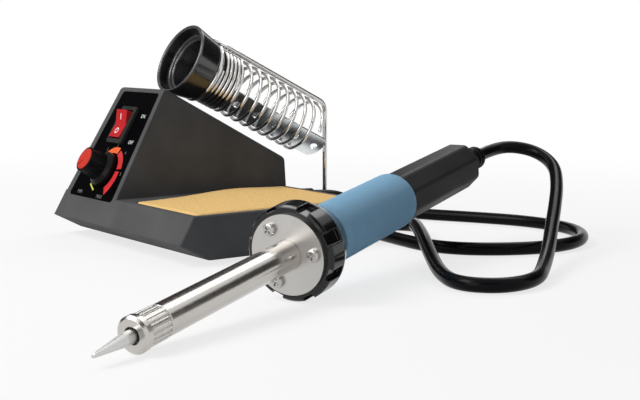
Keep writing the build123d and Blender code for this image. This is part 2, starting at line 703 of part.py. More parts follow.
with BuildPart() as knob_cap:
    with BuildSketch(dial_face.offset(cap_floor)):
        Circle(CAP_RADIUS)
    extrude(amount=CAP_THICKNESS + CAP_PROUD)
    with BuildSketch(dial_face.offset(KNOB_HEIGHT + CAP_PROUD)):
        with Locations(Location((0, 0, 0), POINTER_ANGLE)):
            with Locations((CAP_RADIUS / 2 + POINTER_GROOVE, 0)):
                Rectangle(CAP_RADIUS, POINTER_GROOVE)
    extrude(amount=-POINTER_DEPTH, mode=Mode.SUBTRACT)

# Power board and its parts
with BuildPart() as power_board:
    with BuildSketch(Plane.XY.offset(board_bottom)):
        with Locations((BOARD_LEFT + BOARD_WIDTH / 2, board_front + BOARD_LENGTH / 2)):
            Rectangle(BOARD_WIDTH, BOARD_LENGTH)
        with Locations(*board_screw_places):
            Circle(BOARD_SCREW_SHANK + SCREW_GAP, mode=Mode.SUBTRACT)
    extrude(amount=BOARD_THICKNESS)

with BuildPart() as board_screws:
    with BuildSketch(Plane.XY.offset(board_top)):
        with Locations(*board_screw_places):
            Circle(BOARD_SCREW_HEAD)
    extrude(amount=BOARD_SCREW_HEAD_HEIGHT)
    with BuildSketch(Plane.XY.offset(board_top)):
        with Locations(*board_screw_places):
            Circle(BOARD_SCREW_SHANK)
    extrude(amount=BOARD_THICKNESS - BOARD_SCREW_LENGTH)

board_middle = BOARD_LEFT + BOARD_WIDTH / 2
sink_front = board_rear - HEAT_SINK_DEPTH - 3 * BOARD_SCREW_INSET
with BuildPart() as heat_sink:
    with BuildSketch(Plane.XY.offset(board_top)):
        with Locations((board_middle, sink_front)):
            Rectangle(HEAT_SINK_WIDTH, HEAT_SINK_FIN, align=(Align.CENTER, Align.MIN))
            with GridLocations((HEAT_SINK_WIDTH - HEAT_SINK_FIN) / (HEAT_SINK_FINS - 1), 1, HEAT_SINK_FINS, 1):
                Rectangle(HEAT_SINK_FIN, HEAT_SINK_DEPTH, align=(Align.CENTER, Align.MIN))
    extrude(amount=HEAT_SINK_HEIGHT)

with BuildPart() as triac:
    with BuildSketch(Plane.XY.offset(board_top)):
        with Locations((board_middle, sink_front)):
            Rectangle(TRIAC_WIDTH, TRIAC_THICKNESS, align=(Align.CENTER, Align.MAX))
    extrude(amount=TRIAC_HEIGHT)

with BuildPart() as capacitor:
    with BuildSketch(Plane.XY.offset(board_top)):
        with Locations((board_middle - BOARD_WIDTH / 4, board_front + BOARD_LENGTH / 3)):
            Circle(CAPACITOR_RADIUS)
    extrude(amount=CAPACITOR_HEIGHT)
    fillet(capacitor.faces().sort_by(Axis.Z)[-1].edges(), radius=EDGE_ROUND)

choke_plane = Plane(
    origin=(board_middle + BOARD_WIDTH / 4, board_front + BOARD_LENGTH / 3, board_top + CHOKE_TUBE)
)
with BuildPart() as choke:
    with BuildSketch(Plane(origin=choke_plane.origin, x_dir=(1, 0, 0), z_dir=(0, -1, 0))):
        with Locations((CHOKE_RADIUS - CHOKE_TUBE / 2, 0)):
            Rectangle(CHOKE_TUBE, 2 * CHOKE_TUBE)
    revolve(axis=Axis(choke_plane.origin, (0, 0, 1)))
    fillet(choke.edges(), radius=EDGE_ROUND)

# Sponge
with BuildPart() as sponge:
    with BuildSketch(Plane.XY.offset(tray_floor_height + SPONGE_SEAT_GAP)):
        with BuildLine():
            Polyline(*tray_outline(SPONGE_GAP), close=True)
        make_face()
        fillet(vertices(), radius=TRAY_CORNER)
    extrude(amount=TRAY_DEPTH + SPONGE_PROUD - SPONGE_SEAT_GAP)
    fillet(sponge.faces().sort_by(Axis.Z)[-1].edges(), radius=SPONGE_ROUND)

# Glands on the rear wall
gland_axis = Axis((GLAND_ACROSS, STATION_DEPTH, GLAND_HEIGHT), (0, 1, 0))
rib_pitch = (GLAND_TAPER_LENGTH - GLAND_FLANGE) / (GLAND_RIBS + 1)
with BuildPart() as cord_gland:
    with BuildSketch(Plane(origin=gland_axis.position, x_dir=(0, 1, 0), z_dir=(1, 0, 0))):
        with BuildLine():
            Polyline(
                (-WALL - GLAND_INSIDE, 0),
                (-WALL - GLAND_INSIDE, GLAND_NECK_RADIUS),
                (0, GLAND_NECK_RADIUS),
                (0, GLAND_FLANGE_RADIUS),
                (GLAND_FLANGE, GLAND_FLANGE_RADIUS),
                (GLAND_FLANGE, GLAND_NECK_RADIUS),
                (GLAND_TAPER_LENGTH, GLAND_TIP_RADIUS),
                (GLAND_TAPER_LENGTH, 0),
                close=True,
            )
        make_face()
        with Locations(*[(GLAND_FLANGE + rib_pitch * (rib + 0.7), GLAND_NECK_RADIUS) for rib in range(GLAND_RIBS)]):
            Rectangle(rib_pitch / 2, 3 * GLAND_RIB_DEPTH, mode=Mode.SUBTRACT)
    revolve(axis=gland_axis)

mains_axis = Axis((MAINS_GLAND_ACROSS, STATION_DEPTH, MAINS_GLAND_HEIGHT), (0, 1, 0))
with BuildPart() as mains_gland:
    with BuildSketch(Plane(origin=mains_axis.position, x_dir=(0, 1, 0), z_dir=(1, 0, 0))):
        with BuildLine():
            Polyline(
                (-WALL - GLAND_INSIDE, MAINS_BORE_RADIUS),
                (-WALL - GLAND_INSIDE, GLAND_NECK_RADIUS),
                (0, GLAND_NECK_RADIUS),
                (0, GLAND_FLANGE_RADIUS),
                (GLAND_FLANGE, GLAND_FLANGE_RADIUS),
                (MAINS_GLAND_OUTSIDE, GLAND_NECK_RADIUS),
                (MAINS_GLAND_OUTSIDE, MAINS_BORE_RADIUS),
                close=True,
            )
        make_face()
    revolve(axis=mains_axis)

# Holder: funnel, spring, stand wire and trough
holder_axis = Axis(holder.origin, holder.z_dir)
holder_profile = Plane(origin=holder.origin, x_dir=holder.x_dir, z_dir=-holder.y_dir)
with BuildPart() as holder_funnel:
    with BuildSketch(holder_profile):
        with BuildLine():
            Polyline(
                (FUNNEL_MOUTH_RADIUS, 0),
                (FUNNEL_RIM_RADIUS, 0),
                (FUNNEL_REAR_RADIUS, FUNNEL_LENGTH),
                (ring_seat_radius - STAND_WIRE / 2, FUNNEL_LENGTH),
                (ring_seat_radius - STAND_WIRE / 2, neck_start),
                (neck_radius, neck_start),
                (neck_radius, neck_end),
                (THROAT_RADIUS, neck_end),
                (THROAT_RADIUS, FUNNEL_LENGTH),
                (FUNNEL_STEP_RADIUS, FUNNEL_STEP),
                (FUNNEL_MOUTH_RADIUS - EDGE_ROUND, FUNNEL_STEP),
                close=True,
            )
        make_face()
    revolve(axis=holder_axis)
    fillet(holder_funnel.edges().sort_by(holder_axis)[:2], radius=(FUNNEL_RIM_RADIUS - FUNNEL_MOUTH_RADIUS) / 2.5)


def biarc(start, start_way, end, end_way):
    """Two arcs that leave start along start_way and reach end along end_way."""
    span = end - start
    ways = start_way + end_way
    spread = 2 * (1 - start_way.dot(end_way))
    along = span.dot(ways)
    reach = (sqrt(along * along + spread * span.dot(span)) - along) / spread
    first = start + start_way * reach
    second = end - end_way * reach
    middle = (first + second) * 0.5
    TangentArc(start, middle, tangent=start_way)
    TangentArc(middle, end, tangent=(second - first).normalized())


QUARTERS = 4
close_quarters = CLOSE_TURNS * QUARTERS
spring_steps = [
    (CLOSE_PITCH if quarter < close_quarters else OPEN_PITCH) / QUARTERS
    for quarter in range((CLOSE_TURNS + OPEN_TURNS) * QUARTERS)
]
spring_start = neck_start + SPRING_WIRE / 2 + SPRING_NECK_GAP
spring_places = [spring_start + sum(spring_steps[:count]) for count in range(len(spring_steps) + 1)]


def spring_point(quarter):
    """A point on the spring's centre line, a quarter turn at a time."""
    turn = pi / 2 * quarter
    return holder.from_local_coords(
        Vector(SPRING_RADIUS * cos(turn), SPRING_RADIUS * sin(turn), spring_places[quarter])
    )


def spring_way(quarter):
    """The direction of the spring's centre line at a quarter turn."""
    turn = pi / 2 * quarter
    before = spring_steps[max(quarter - 1, 0)]
    after = spring_steps[min(quarter, len(spring_steps) - 1)]
    rise = (before + after) / 2 / (SPRING_RADIUS * pi / 2)
    local = Vector(-sin(turn), cos(turn), rise).normalized()
    return (
        holder.x_dir * local.X + holder.y_dir * local.Y + holder.z_dir * local.Z
    ).normalized()


with BuildPart() as holder_spring:
    with BuildLine() as spring_line:
        last = len(spring_steps)
        Line(spring_point(0) - spring_way(0) * SPRING_WIRE, spring_point(0))
        for quarter in range(last):
            biarc(
                spring_point(quarter), spring_way(quarter), spring_point(quarter + 1), spring_way(quarter + 1)
            )
        Line(spring_point(last), spring_point(last) + spring_way(last) * SPRING_WIRE)
    spring_path = spring_line.wires()[0]
    with BuildSketch(Plane(origin=spring_path @ 0, z_dir=spring_path % 0)):
        Circle(SPRING_WIRE / 2)
    sweep(path=spring_path)
spring_end = spring_places[-1]
SPRING_SAMPLES = 16
samples = (CLOSE_TURNS + OPEN_TURNS) * SPRING_SAMPLES
spring_samples = [spring_path @ (count / samples) for count in range(samples + 1)]
spring_gap = min(
    (spring_samples[second] - spring_samples[first]).length
    for first in range(samples)
    for second in range(first + SPRING_SAMPLES // 2, min(first + 2 * SPRING_SAMPLES, samples + 1))
)
print(f"spring: least gap between turns {spring_gap - SPRING_WIRE:.2f} mm")

ring_centre = holder.from_local_coords(Vector(0, 0, ring_place))
run_front = ring_centre + leg_up * STAND_WIRE_LIFT
run_rear = run_front + holder.z_dir * (STAND_REAR_REACH - ring_place)
leg_top = leg_point + leg_up * STAND_WIRE_LIFT
with BuildPart() as stand_wire:
    with BuildLine() as stand_line:
        FilletPolyline(
            leg_end,
            leg_top,
            run_front,
            run_rear,
            Vector(run_rear.X, run_rear.Y, STAND_PLUG_HEIGHT),
            Vector(run_rear.X, STATION_DEPTH - STAND_PLUG_DEPTH, STAND_PLUG_HEIGHT),
            radius=STAND_BEND,
        )
    stand_path = stand_line.wires()[0]
    with BuildSketch(Plane(origin=stand_path @ 0, z_dir=stand_path % 0)):
        Circle(STAND_WIRE / 2)
    sweep(path=stand_path)
    with BuildSketch(Plane(origin=ring_centre, x_dir=holder.x_dir, z_dir=-holder.y_dir)):
        with Locations((ring_seat_radius + SPRING_NECK_GAP, 0)):
            Circle(STAND_WIRE / 2)
    revolve(axis=holder_axis)

# The trough lies on the lower turns inside the spring
trough_corner = SPRING_RADIUS - SPRING_WIRE / 2 - TROUGH_SPRING_GAP
trough_start = neck_end + TROUGH_NECK_GAP
trough_length = spring_end + TROUGH_OVERHANG - trough_start
half = TROUGH_FLANGE / sqrt(2)
fold = TROUGH_SHEET * sqrt(2)
down = -1 if holder.y_dir.Z > 0 else 1
trough_height = half + fold / 2
trough_side = Plane(
    origin=holder.from_local_coords(Vector(0, down * trough_corner, trough_start)),
    x_dir=holder.z_dir,
    z_dir=holder.x_dir,
)
with BuildPart() as holder_trough:
    with BuildSketch(holder.offset(trough_start)):
        with BuildLine():
            Polyline(
                (0, down * trough_corner),
                (half, down * (trough_corner - half)),
                (half - fold / 2, down * (trough_corner - half - fold / 2)),
                (0, down * (trough_corner - fold)),
                (fold / 2 - half, down * (trough_corner - half - fold / 2)),
                (-half, down * (trough_corner - half)),
                close=True,
            )
        make_face()
    extrude(amount=trough_length)
    with BuildSketch(trough_side):
        with Locations((trough_length / 2, down * trough_height / 2)):
            Rectangle(trough_length, trough_height)
        fillet(vertices().sort_by(Axis.X)[-2:], radius=TROUGH_CORNER)
    extrude(amount=TROUGH_FLANGE, both=True, mode=Mode.INTERSECT)
    for side in (-1, 1):
        flange_face = Plane(
            origin=holder.from_local_coords(
                Vector(side * half / 2, down * (trough_corner - half / 2), trough_start + trough_length)
            ),
            x_dir=-holder.z_dir,
            z_dir=(holder.x_dir * side + holder.y_dir * down).normalized(),
        )
        with BuildSketch(flange_face.offset(TROUGH_SHEET)):
            with Locations(*[(TROUGH_CORNER + TROUGH_HOLE_PITCH * hole, 0) for hole in range(TROUGH_HOLES)]):
                Circle(TROUGH_HOLE_RADIUS)
        extrude(amount=-3 * TROUGH_SHEET, mode=Mode.SUBTRACT)

# Iron: its axis leans up from the tip to the collar, both of which rest on the bench
collar_front = PLATE_START + PLATE_THICKNESS
collar_rest = collar_front + COLLAR_CHAMFER
nut_rest = NUT_START + EDGE_ROUND
iron_lean = atan2(COLLAR_RADIUS - NUT_FLANGE_RADIUS, collar_rest - nut_rest)
tip_height = NUT_FLANGE_RADIUS * cos(iron_lean) - nut_rest * sin(iron_lean)
heading = radians(IRON_HEADING)
iron = Plane(
    origin=(IRON_TIP_X, IRON_TIP_Y, tip_height),
    x_dir=(-sin(heading), cos(heading), 0),
    z_dir=(cos(iron_lean) * cos(heading), cos(iron_lean) * sin(heading), sin(iron_lean)),
)
iron_axis = Axis(iron.origin, iron.z_dir)
iron_profile = Plane(origin=iron.origin, x_dir=iron.x_dir, z_dir=-iron.y_dir)
nut_end = NUT_START + NUT_LENGTH
shoulder_start = NUT_START + NUT_LIP + NUT_GAP
shoulder_end = shoulder_start + TIP_SHOULDER
barrel_start = shoulder_end + NUT_GAP
shank_end = shoulder_end + TIP_SHANK_LENGTH
heater_start = shank_end + HEATER_GAP
heater_end = heater_start + HEATER_LENGTH
plate_end = PLATE_START + PLATE_THICKNESS
flare_end = plate_end + BARREL_FLARE
collar_end = collar_front + COLLAR_LENGTH
spigot_front = collar_front + 2 * BARREL_FLARE + PLATE_SCREW_LENGTH

with BuildPart() as solder_tip:
    with BuildSketch(iron_profile):
        with BuildLine():
            Polyline(
                (0, 0),
                (TIP_END_RADIUS, 0),
                (TIP_RADIUS, TIP_CONE_LENGTH),
                (TIP_RADIUS, shoulder_start),
                (TIP_SHOULDER_RADIUS, shoulder_start),
                (TIP_SHOULDER_RADIUS, shoulder_end),
                (TIP_SHANK_RADIUS, shoulder_end),
                (TIP_SHANK_RADIUS, shank_end),
                (0, shank_end),
                close=True,
            )
        make_face()
    revolve(axis=iron_axis)
    bevel_turn = radians(TIP_BEVEL_ANGLE)
    upward = iron.y_dir if iron.y_dir.Z > 0 else -iron.y_dir
    bevel_plane = Plane(
        origin=iron.from_local_coords(Vector(0, 0, 0)) + upward * TIP_BEVEL_HEIGHT,
        z_dir=upward * cos(bevel_turn) - iron.z_dir * sin(bevel_turn),
    )
    split(bisect_by=bevel_plane, keep=Keep.BOTTOM)

with BuildPart() as tip_nut:
    with BuildSketch(iron_profile):
        with BuildLine():
            Polyline(
                (NUT_HOLE_RADIUS, NUT_START),
                (NUT_FLANGE_RADIUS - EDGE_ROUND, NUT_START),
                (NUT_FLANGE_RADIUS, NUT_START + EDGE_ROUND),
                (NUT_FLANGE_RADIUS, NUT_START + NUT_FLANGE),
                (NUT_RADIUS, NUT_START + NUT_FLANGE),
                (NUT_RADIUS, nut_end),
                (BARREL_THREAD_RADIUS + NUT_GAP, nut_end),
                (BARREL_THREAD_RADIUS + NUT_GAP, NUT_START + NUT_LIP),
                (NUT_HOLE_RADIUS, NUT_START + NUT_LIP),
                close=True,
            )
        make_face()
    revolve(axis=iron_axis)
    with BuildSketch(iron.offset(NUT_START + NUT_FLANGE)):
        with PolarLocations(NUT_RADIUS + NUT_FLUTE_RADIUS / 4, NUT_FLUTES):
            Circle(NUT_FLUTE_RADIUS)
    extrude(amount=NUT_LENGTH - NUT_FLANGE, mode=Mode.SUBTRACT)

with BuildPart() as barrel_tube:
    with BuildSketch(iron_profile):
        with BuildLine():
            Polyline(
                (BARREL_BORE, barrel_start),
                (BARREL_THREAD_RADIUS, barrel_start),
                (BARREL_THREAD_RADIUS, nut_end + NUT_GAP),
                (BARREL_RADIUS, nut_end + NUT_GAP),
                (BARREL_RADIUS, plate_end),
                (BARREL_FLARE_RADIUS, plate_end),
                (BARREL_FLARE_RADIUS, flare_end),
                (BARREL_BORE, flare_end),
                close=True,
            )
        make_face()
    revolve(axis=iron_axis)

with BuildPart() as heater_core:
    with BuildSketch(iron.offset(heater_start)):
        Circle(HEATER_RADIUS)
    extrude(amount=HEATER_LENGTH)

with BuildPart() as heater_leads:
    with BuildSketch(iron.offset(heater_end)):
        with GridLocations(2 * LEAD_SPACING, 1, 2, 1):
            Circle(LEAD_RADIUS)
    extrude(amount=TERMINAL_BLOCK_START - heater_end)

with BuildPart() as flange_plate:
    with BuildSketch(iron.offset(PLATE_START)):
        Circle(PLATE_RADIUS)
        Circle(BARREL_RADIUS + PLATE_GAP, mode=Mode.SUBTRACT)
        with PolarLocations(PLATE_SCREW_CIRCLE, PLATE_SCREWS, start_angle=PLATE_SCREW_TURN):
            Circle(PLATE_SCREW_SHANK + SCREW_GAP, mode=Mode.SUBTRACT)
    extrude(amount=PLATE_THICKNESS)

with BuildPart() as flange_screws:
    with BuildSketch(iron.offset(PLATE_START)):
        with PolarLocations(PLATE_SCREW_CIRCLE, PLATE_SCREWS, start_angle=PLATE_SCREW_TURN):
            Circle(PLATE_SCREW_HEAD)
    extrude(amount=-PLATE_SCREW_HEAD_HEIGHT)
    fillet(flange_screws.faces().group_by(iron_axis)[0].edges(), radius=EDGE_ROUND)
    with BuildSketch(iron.offset(PLATE_START - PLATE_SCREW_HEAD_HEIGHT)):
        with PolarLocations(PLATE_SCREW_CIRCLE, PLATE_SCREWS, start_angle=PLATE_SCREW_TURN):
            Rectangle(PLATE_SCREW_SLOT_LENGTH, PLATE_SCREW_SLOT)
            Rectangle(PLATE_SCREW_SLOT, PLATE_SCREW_SLOT_LENGTH)
    extrude(amount=PLATE_SCREW_SLOT_DEPTH, mode=Mode.SUBTRACT)
    with BuildSketch(iron.offset(PLATE_START)):
        with PolarLocations(PLATE_SCREW_CIRCLE, PLATE_SCREWS, start_angle=PLATE_SCREW_TURN):
            Circle(PLATE_SCREW_SHANK)
    extrude(amount=PLATE_SCREW_LENGTH)

with BuildPart() as flange_collar:
    with BuildSketch(iron_profile):
        with BuildLine():
            Polyline(
                (HANDLE_SPIGOT_RADIUS + HANDLE_GAP, collar_front),
                (COLLAR_RADIUS - COLLAR_CHAMFER, collar_front),
                (COLLAR_RADIUS, collar_rest),
                (COLLAR_RADIUS, collar_rest + COLLAR_LAND),
                (COLLAR_REAR_RADIUS, collar_end),
                (HANDLE_SPIGOT_RADIUS + HANDLE_GAP, collar_end),
                close=True,
            )
        make_face()
    revolve(axis=iron_axis)
    with BuildSketch(iron.offset(collar_front)):
        with PolarLocations(COLLAR_RADIUS, COLLAR_NOTCHES, start_angle=180 / COLLAR_NOTCHES):
            Rectangle(2 * COLLAR_NOTCH_DEPTH, COLLAR_NOTCH_WIDTH)
    extrude(amount=COLLAR_LAND, mode=Mode.SUBTRACT)
    with BuildSketch(iron.offset(collar_front)):
        with PolarLocations(PLATE_SCREW_CIRCLE, PLATE_SCREWS, start_angle=PLATE_SCREW_TURN):
            Circle(PLATE_SCREW_SHANK + SCREW_GAP)
    extrude(amount=PLATE_SCREW_LENGTH, mode=Mode.SUBTRACT)

with BuildPart() as grip_sleeve:
    with BuildSketch(iron_profile):
        with BuildLine():
            Polyline(
                (HANDLE_SPIGOT_RADIUS + GRIP_GAP, collar_end + GRIP_GAP),
                (GRIP_FRONT_RADIUS, collar_end + GRIP_GAP),
                (GRIP_RADIUS, collar_end + GRIP_GAP + GRIP_FLARE),
                (GRIP_RADIUS, GRIP_END),
                (HANDLE_SPIGOT_RADIUS + GRIP_GAP, GRIP_END),
                close=True,
            )
        make_face()
    revolve(axis=iron_axis)
    fillet(grip_sleeve.edges().filter_by(GeomType.CIRCLE).sort_by(iron_axis)[-1], radius=GRIP_ROUND)

handle_start = GRIP_END + GRIP_GAP
with BuildPart() as handle:
    with BuildSketch(iron.offset(handle_start)):
        RegularPolygon(HANDLE_RADIUS, HANDLE_SIDES, major_radius=False, rotation=180 / HANDLE_SIDES)
        fillet(vertices(), radius=HANDLE_SIDE_ROUND)
    extrude(amount=HANDLE_END - HANDLE_TAPER - handle_start)
    for place, across in ((HANDLE_END - HANDLE_TAPER, HANDLE_RADIUS), (HANDLE_END, HANDLE_END_RADIUS)):
        with BuildSketch(iron.offset(place)):
            RegularPolygon(across, HANDLE_SIDES, major_radius=False, rotation=180 / HANDLE_SIDES)
            fillet(vertices(), radius=HANDLE_SIDE_ROUND * across / HANDLE_RADIUS)
    loft(ruled=True)
    with BuildSketch(iron.offset(spigot_front)):
        Circle(HANDLE_SPIGOT_RADIUS)
    extrude(amount=handle_start - spigot_front)
    with BuildSketch(iron.offset(spigot_front)):
        Circle(HANDLE_BORE)
    extrude(amount=HANDLE_END - BOOT_PLUG - spigot_front, mode=Mode.SUBTRACT)
    with BuildSketch(iron.offset(HANDLE_END)):
        Circle(BOOT_PLUG_RADIUS + HANDLE_GAP)
    extrude(amount=-2 * BOOT_PLUG, mode=Mode.SUBTRACT)

with BuildPart() as terminal_block:
    with BuildSketch(iron.offset(TERMINAL_BLOCK_START)):
        Circle(HANDLE_BORE - TERMINAL_BLOCK_GAP)
    extrude(amount=TERMINAL_BLOCK_LENGTH)

boot_end = HANDLE_END + BOOT_LENGTH
ring_pitch = BOOT_LENGTH / BOOT_RINGS
with BuildPart() as cord_boot:
    with BuildSketch(iron_profile):
        with BuildLine():
            Polyline(
                (0, HANDLE_END - BOOT_PLUG),
                (BOOT_PLUG_RADIUS, HANDLE_END - BOOT_PLUG),
                (BOOT_PLUG_RADIUS, HANDLE_END),
                (BOOT_RADIUS, HANDLE_END),
                (BOOT_RADIUS, boot_end),
                (0, boot_end),
                close=True,
            )
        make_face()
        with Locations(*[(BOOT_RADIUS, HANDLE_END + ring_pitch * (ring + 0.2)) for ring in range(BOOT_RINGS)]):
            Rectangle(2 * (BOOT_RADIUS - BOOT_GROOVE_RADIUS), ring_pitch * 0.4, mode=Mode.SUBTRACT)
    revolve(axis=iron_axis)

# Cord, from the iron's boot over the bench to the gland on the rear wall
cord_start = iron.from_local_coords(Vector(0, 0, boot_end))
cord_end = Vector(GLAND_ACROSS, STATION_DEPTH + GLAND_TAPER_LENGTH, GLAND_HEIGHT)
CORD_POINTS = [
    cord_start,
    cord_start + iron.z_dir * CORD_EXIT_RUN,
    Vector(138, 181, 44),
    Vector(147, 190, 41.5),
    Vector(162, 187, 36),
    Vector(177, 173, 29),
    Vector(190, 158, 22),
    Vector(203, 142, 14.5),
    Vector(217, 125.5, 8.3),
    Vector(231, 108, 4.4),
    Vector(243, 92, 3.1),
    Vector(245, 72, 3.1),
    Vector(231, 61, 3.1),
    Vector(211, 70, 3.1),
    Vector(187, 86, 5.5),
    Vector(160, 104, 10.5),
    Vector(135, 121, 10.5),
    Vector(122, 134, 5.5),
    Vector(111, 145, 3.6),
    Vector(99.5, 145.5, 3.1),
    Vector(92.5, 136.5, 3.1),
    Vector(94.5, 125.5, 3.1),
    Vector(104, 118, 3.1),
    Vector(119, 115.5, 3.1),
    Vector(137, 113, 3.1),
    Vector(155, 111.5, 3.1),
    Vector(171, 118, 3.1),
    Vector(183, 132, 3.1),
    Vector(191, 151, 3.1),
    Vector(190, 173, 3.1),
    Vector(177, 193, 3.1),
    Vector(154, 206, 3.1),
    Vector(126, 205, 3.1),
    Vector(98, 192, 3.1),
    Vector(74, 178, 3.1),
    Vector(55, 165, 4.5),
    Vector(47, 150, 10),
    cord_end + Vector(0, CORD_ENTRY_RUN, 0),
    cord_end,
]


def bend_radii(points):
    """The largest tangent arc at each corner that leaves room for its neighbours."""
    radii = []
    for before, corner, after in zip(points, points[1:], points[2:]):
        arriving = corner - before
        leaving = after - corner
        turn = radians(arriving.get_angle(leaving))
        radii.append(0.45 * min(arriving.length, leaving.length) / tan(turn / 2))
    return radii


cord_radii = bend_radii(CORD_POINTS)
with BuildPart() as iron_cord:
    with BuildLine() as cord_line:
        FilletPolyline(*CORD_POINTS, radius=cord_radii)
    cord_path = cord_line.wires()[0]
    with BuildSketch(Plane(origin=cord_path @ 0, z_dir=cord_path % 0)):
        Circle(CORD_DIAMETER / 2)
    sweep(path=cord_path)
cord_section = pi * CORD_DIAMETER**2 / 4
print("cord radii:", " ".join(f"{radius:.0f}" for radius in cord_radii))
print(f"cord: length {cord_path.length:.0f} mm, volume over section times length "
      f"{iron_cord.part.volume / (cord_section * cord_path.length):.4f}")

# Every piece, moved so that the origin lies under the middle of the station and the iron
PIECES = {
    "housing_shell": housing_shell.part,
    "bottom_cover": bottom_cover.part,
    "cover_screws": cover_screws.part,
    "rubber_feet": rubber_feet.part,
    "control_panel": control_panel.part,
    "switch_frame": switch_frame.part,
    "switch_terminals": switch_terminals.part,
    "rocker_switch": rocker_switch.part,
    "potentiometer": potentiometer.part,
    "potentiometer_nut": potentiometer_nut.part,
    "potentiometer_shaft": potentiometer_shaft.part,
    "temperature_knob": temperature_knob.part,
    "knob_cap": knob_cap.part,
    "power_board": power_board.part,
    "board_screws": board_screws.part,
    "heat_sink": heat_sink.part,
    "triac": triac.part,
    "capacitor": capacitor.part,
    "choke": choke.part,
    "sponge": sponge.part,
    "cord_gland": cord_gland.part,
    "mains_gland": mains_gland.part,
    "holder_funnel": holder_funnel.part,
    "holder_spring": holder_spring.part,
    "stand_wire": stand_wire.part,
    "holder_trough": holder_trough.part,
    "solder_tip": solder_tip.part,
    "tip_nut": tip_nut.part,
    "barrel_tube": barrel_tube.part,
    "heater_core": heater_core.part,
    "heater_leads": heater_leads.part,
    "flange_plate": flange_plate.part,
    "flange_screws": flange_screws.part,
    "flange_collar": flange_collar.part,
    "grip_sleeve": grip_sleeve.part,
    "handle": handle.part,
    "terminal_block": terminal_block.part,
    "cord_boot": cord_boot.part,
    "iron_cord": iron_cord.part,
}
CORD_NODES = ("iron_cord",)
standing = Compound([piece for name, piece in PIECES.items() if name not in CORD_NODES])
bounds = standing.bounding_box()
to_frame = Location((-bounds.center().X, -bounds.center().Y, -bounds.min.Z))

os.makedirs("parts", exist_ok=True)
for name, piece in PIECES.items():
    placed = piece.moved(to_frame)
    placed.label = name
    export_step(placed, f"parts/{name}.step")

print("origin moved by", to_frame.position.to_tuple())
print("rocker pivot", rocker_plane.origin.to_tuple())
print("dial", dial_face.origin.to_tuple(), dial_face.z_dir.to_tuple())
print("holder", holder.origin.to_tuple(), holder.z_dir.to_tuple())
print("iron", iron.origin.to_tuple(), iron.z_dir.to_tuple(), "lean", degrees(iron_lean))
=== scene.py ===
"""Soldering station with its corded iron: finishes, soft pieces, panel print and studio.

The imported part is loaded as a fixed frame. Sizes are in millimetres in the bench axes of the
station, X right from the housing's left wall, Y back from its front belt and Z up from the bench,
and the Bench class turns them into metres in the frame.
"""

from __future__ import annotations

import json
import logging
import math
from dataclasses import dataclass
from enum import Enum

import bmesh
import bpy
from mathutils import Matrix, Vector, noise

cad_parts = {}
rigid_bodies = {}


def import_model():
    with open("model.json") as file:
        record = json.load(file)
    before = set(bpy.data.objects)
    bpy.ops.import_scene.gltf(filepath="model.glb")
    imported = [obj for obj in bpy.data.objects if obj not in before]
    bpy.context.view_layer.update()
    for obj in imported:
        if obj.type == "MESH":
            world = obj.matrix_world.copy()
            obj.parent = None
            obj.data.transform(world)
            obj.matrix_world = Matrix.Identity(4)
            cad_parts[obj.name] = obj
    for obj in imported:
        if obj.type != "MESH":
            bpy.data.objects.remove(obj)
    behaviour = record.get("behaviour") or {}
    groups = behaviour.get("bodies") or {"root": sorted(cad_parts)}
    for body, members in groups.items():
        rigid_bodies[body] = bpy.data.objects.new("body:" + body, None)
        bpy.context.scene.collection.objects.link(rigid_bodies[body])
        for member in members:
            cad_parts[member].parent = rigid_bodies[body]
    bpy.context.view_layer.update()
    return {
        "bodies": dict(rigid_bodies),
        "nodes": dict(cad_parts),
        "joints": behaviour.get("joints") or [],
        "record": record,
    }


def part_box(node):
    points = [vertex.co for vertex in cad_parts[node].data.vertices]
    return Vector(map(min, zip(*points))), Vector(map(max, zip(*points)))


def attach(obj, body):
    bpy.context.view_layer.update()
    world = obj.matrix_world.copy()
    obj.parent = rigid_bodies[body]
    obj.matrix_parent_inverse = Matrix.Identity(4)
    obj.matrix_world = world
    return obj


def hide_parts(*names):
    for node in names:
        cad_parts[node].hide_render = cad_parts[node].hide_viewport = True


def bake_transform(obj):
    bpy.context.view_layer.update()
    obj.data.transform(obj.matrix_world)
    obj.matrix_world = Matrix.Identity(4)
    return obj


LOG = logging.getLogger("station")
MM = 0.001
Point = tuple[float, float, float]
Colour = tuple[float, float, float]

# Nearly all values of a noise lie between these two.
NOISE_LOW = 0.3
NOISE_HIGH = 0.7
# Sink marks of moulded plastic and ripples of polished metal, in metres.
SINK_SIZE = 0.03
SINK_DEPTH = 0.00012
POLISH_SIZE = 0.006
POLISH_DEPTH = 0.00002


class Grain(Enum):
    """How the surface of a finish is worked."""

    MOULDED = "moulded"
    POLISHED = "polished"
    TURNED = "turned"
    FOAM = "foam"
    CELLULOSE = "cellulose"
    PRINTED = "printed"


class Body(Enum):
    """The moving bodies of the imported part."""

    STATION = "station"
    ROCKER = "rocker"
    KNOB = "knob"
    SPONGE = "sponge"
    IRON = "iron"


@dataclass(frozen=True)
class Bench:
    """Places given on the bench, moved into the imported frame.

    Attributes:
        corner: Where the housing's front left corner on the bench lies in the frame, in metres.
    """

    corner: Vector

    @classmethod
    def from_frame(cls) -> Bench:
        """Find the bench corner from the housing's box."""
        low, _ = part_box("housing_shell")
        return cls(Vector((low.x, low.y, 0.0)))

    def at(self, x: float, y: float, z: float) -> Vector:
        """Move a bench place into the frame.

        Args:
            x: Millimetres to the right of the housing's left wall.
            y: Millimetres behind the housing's front belt.
            z: Millimetres above the bench.

        Returns:
            The place in the frame, in metres.
        """
        return self.corner + Vector((x, y, z)) * MM


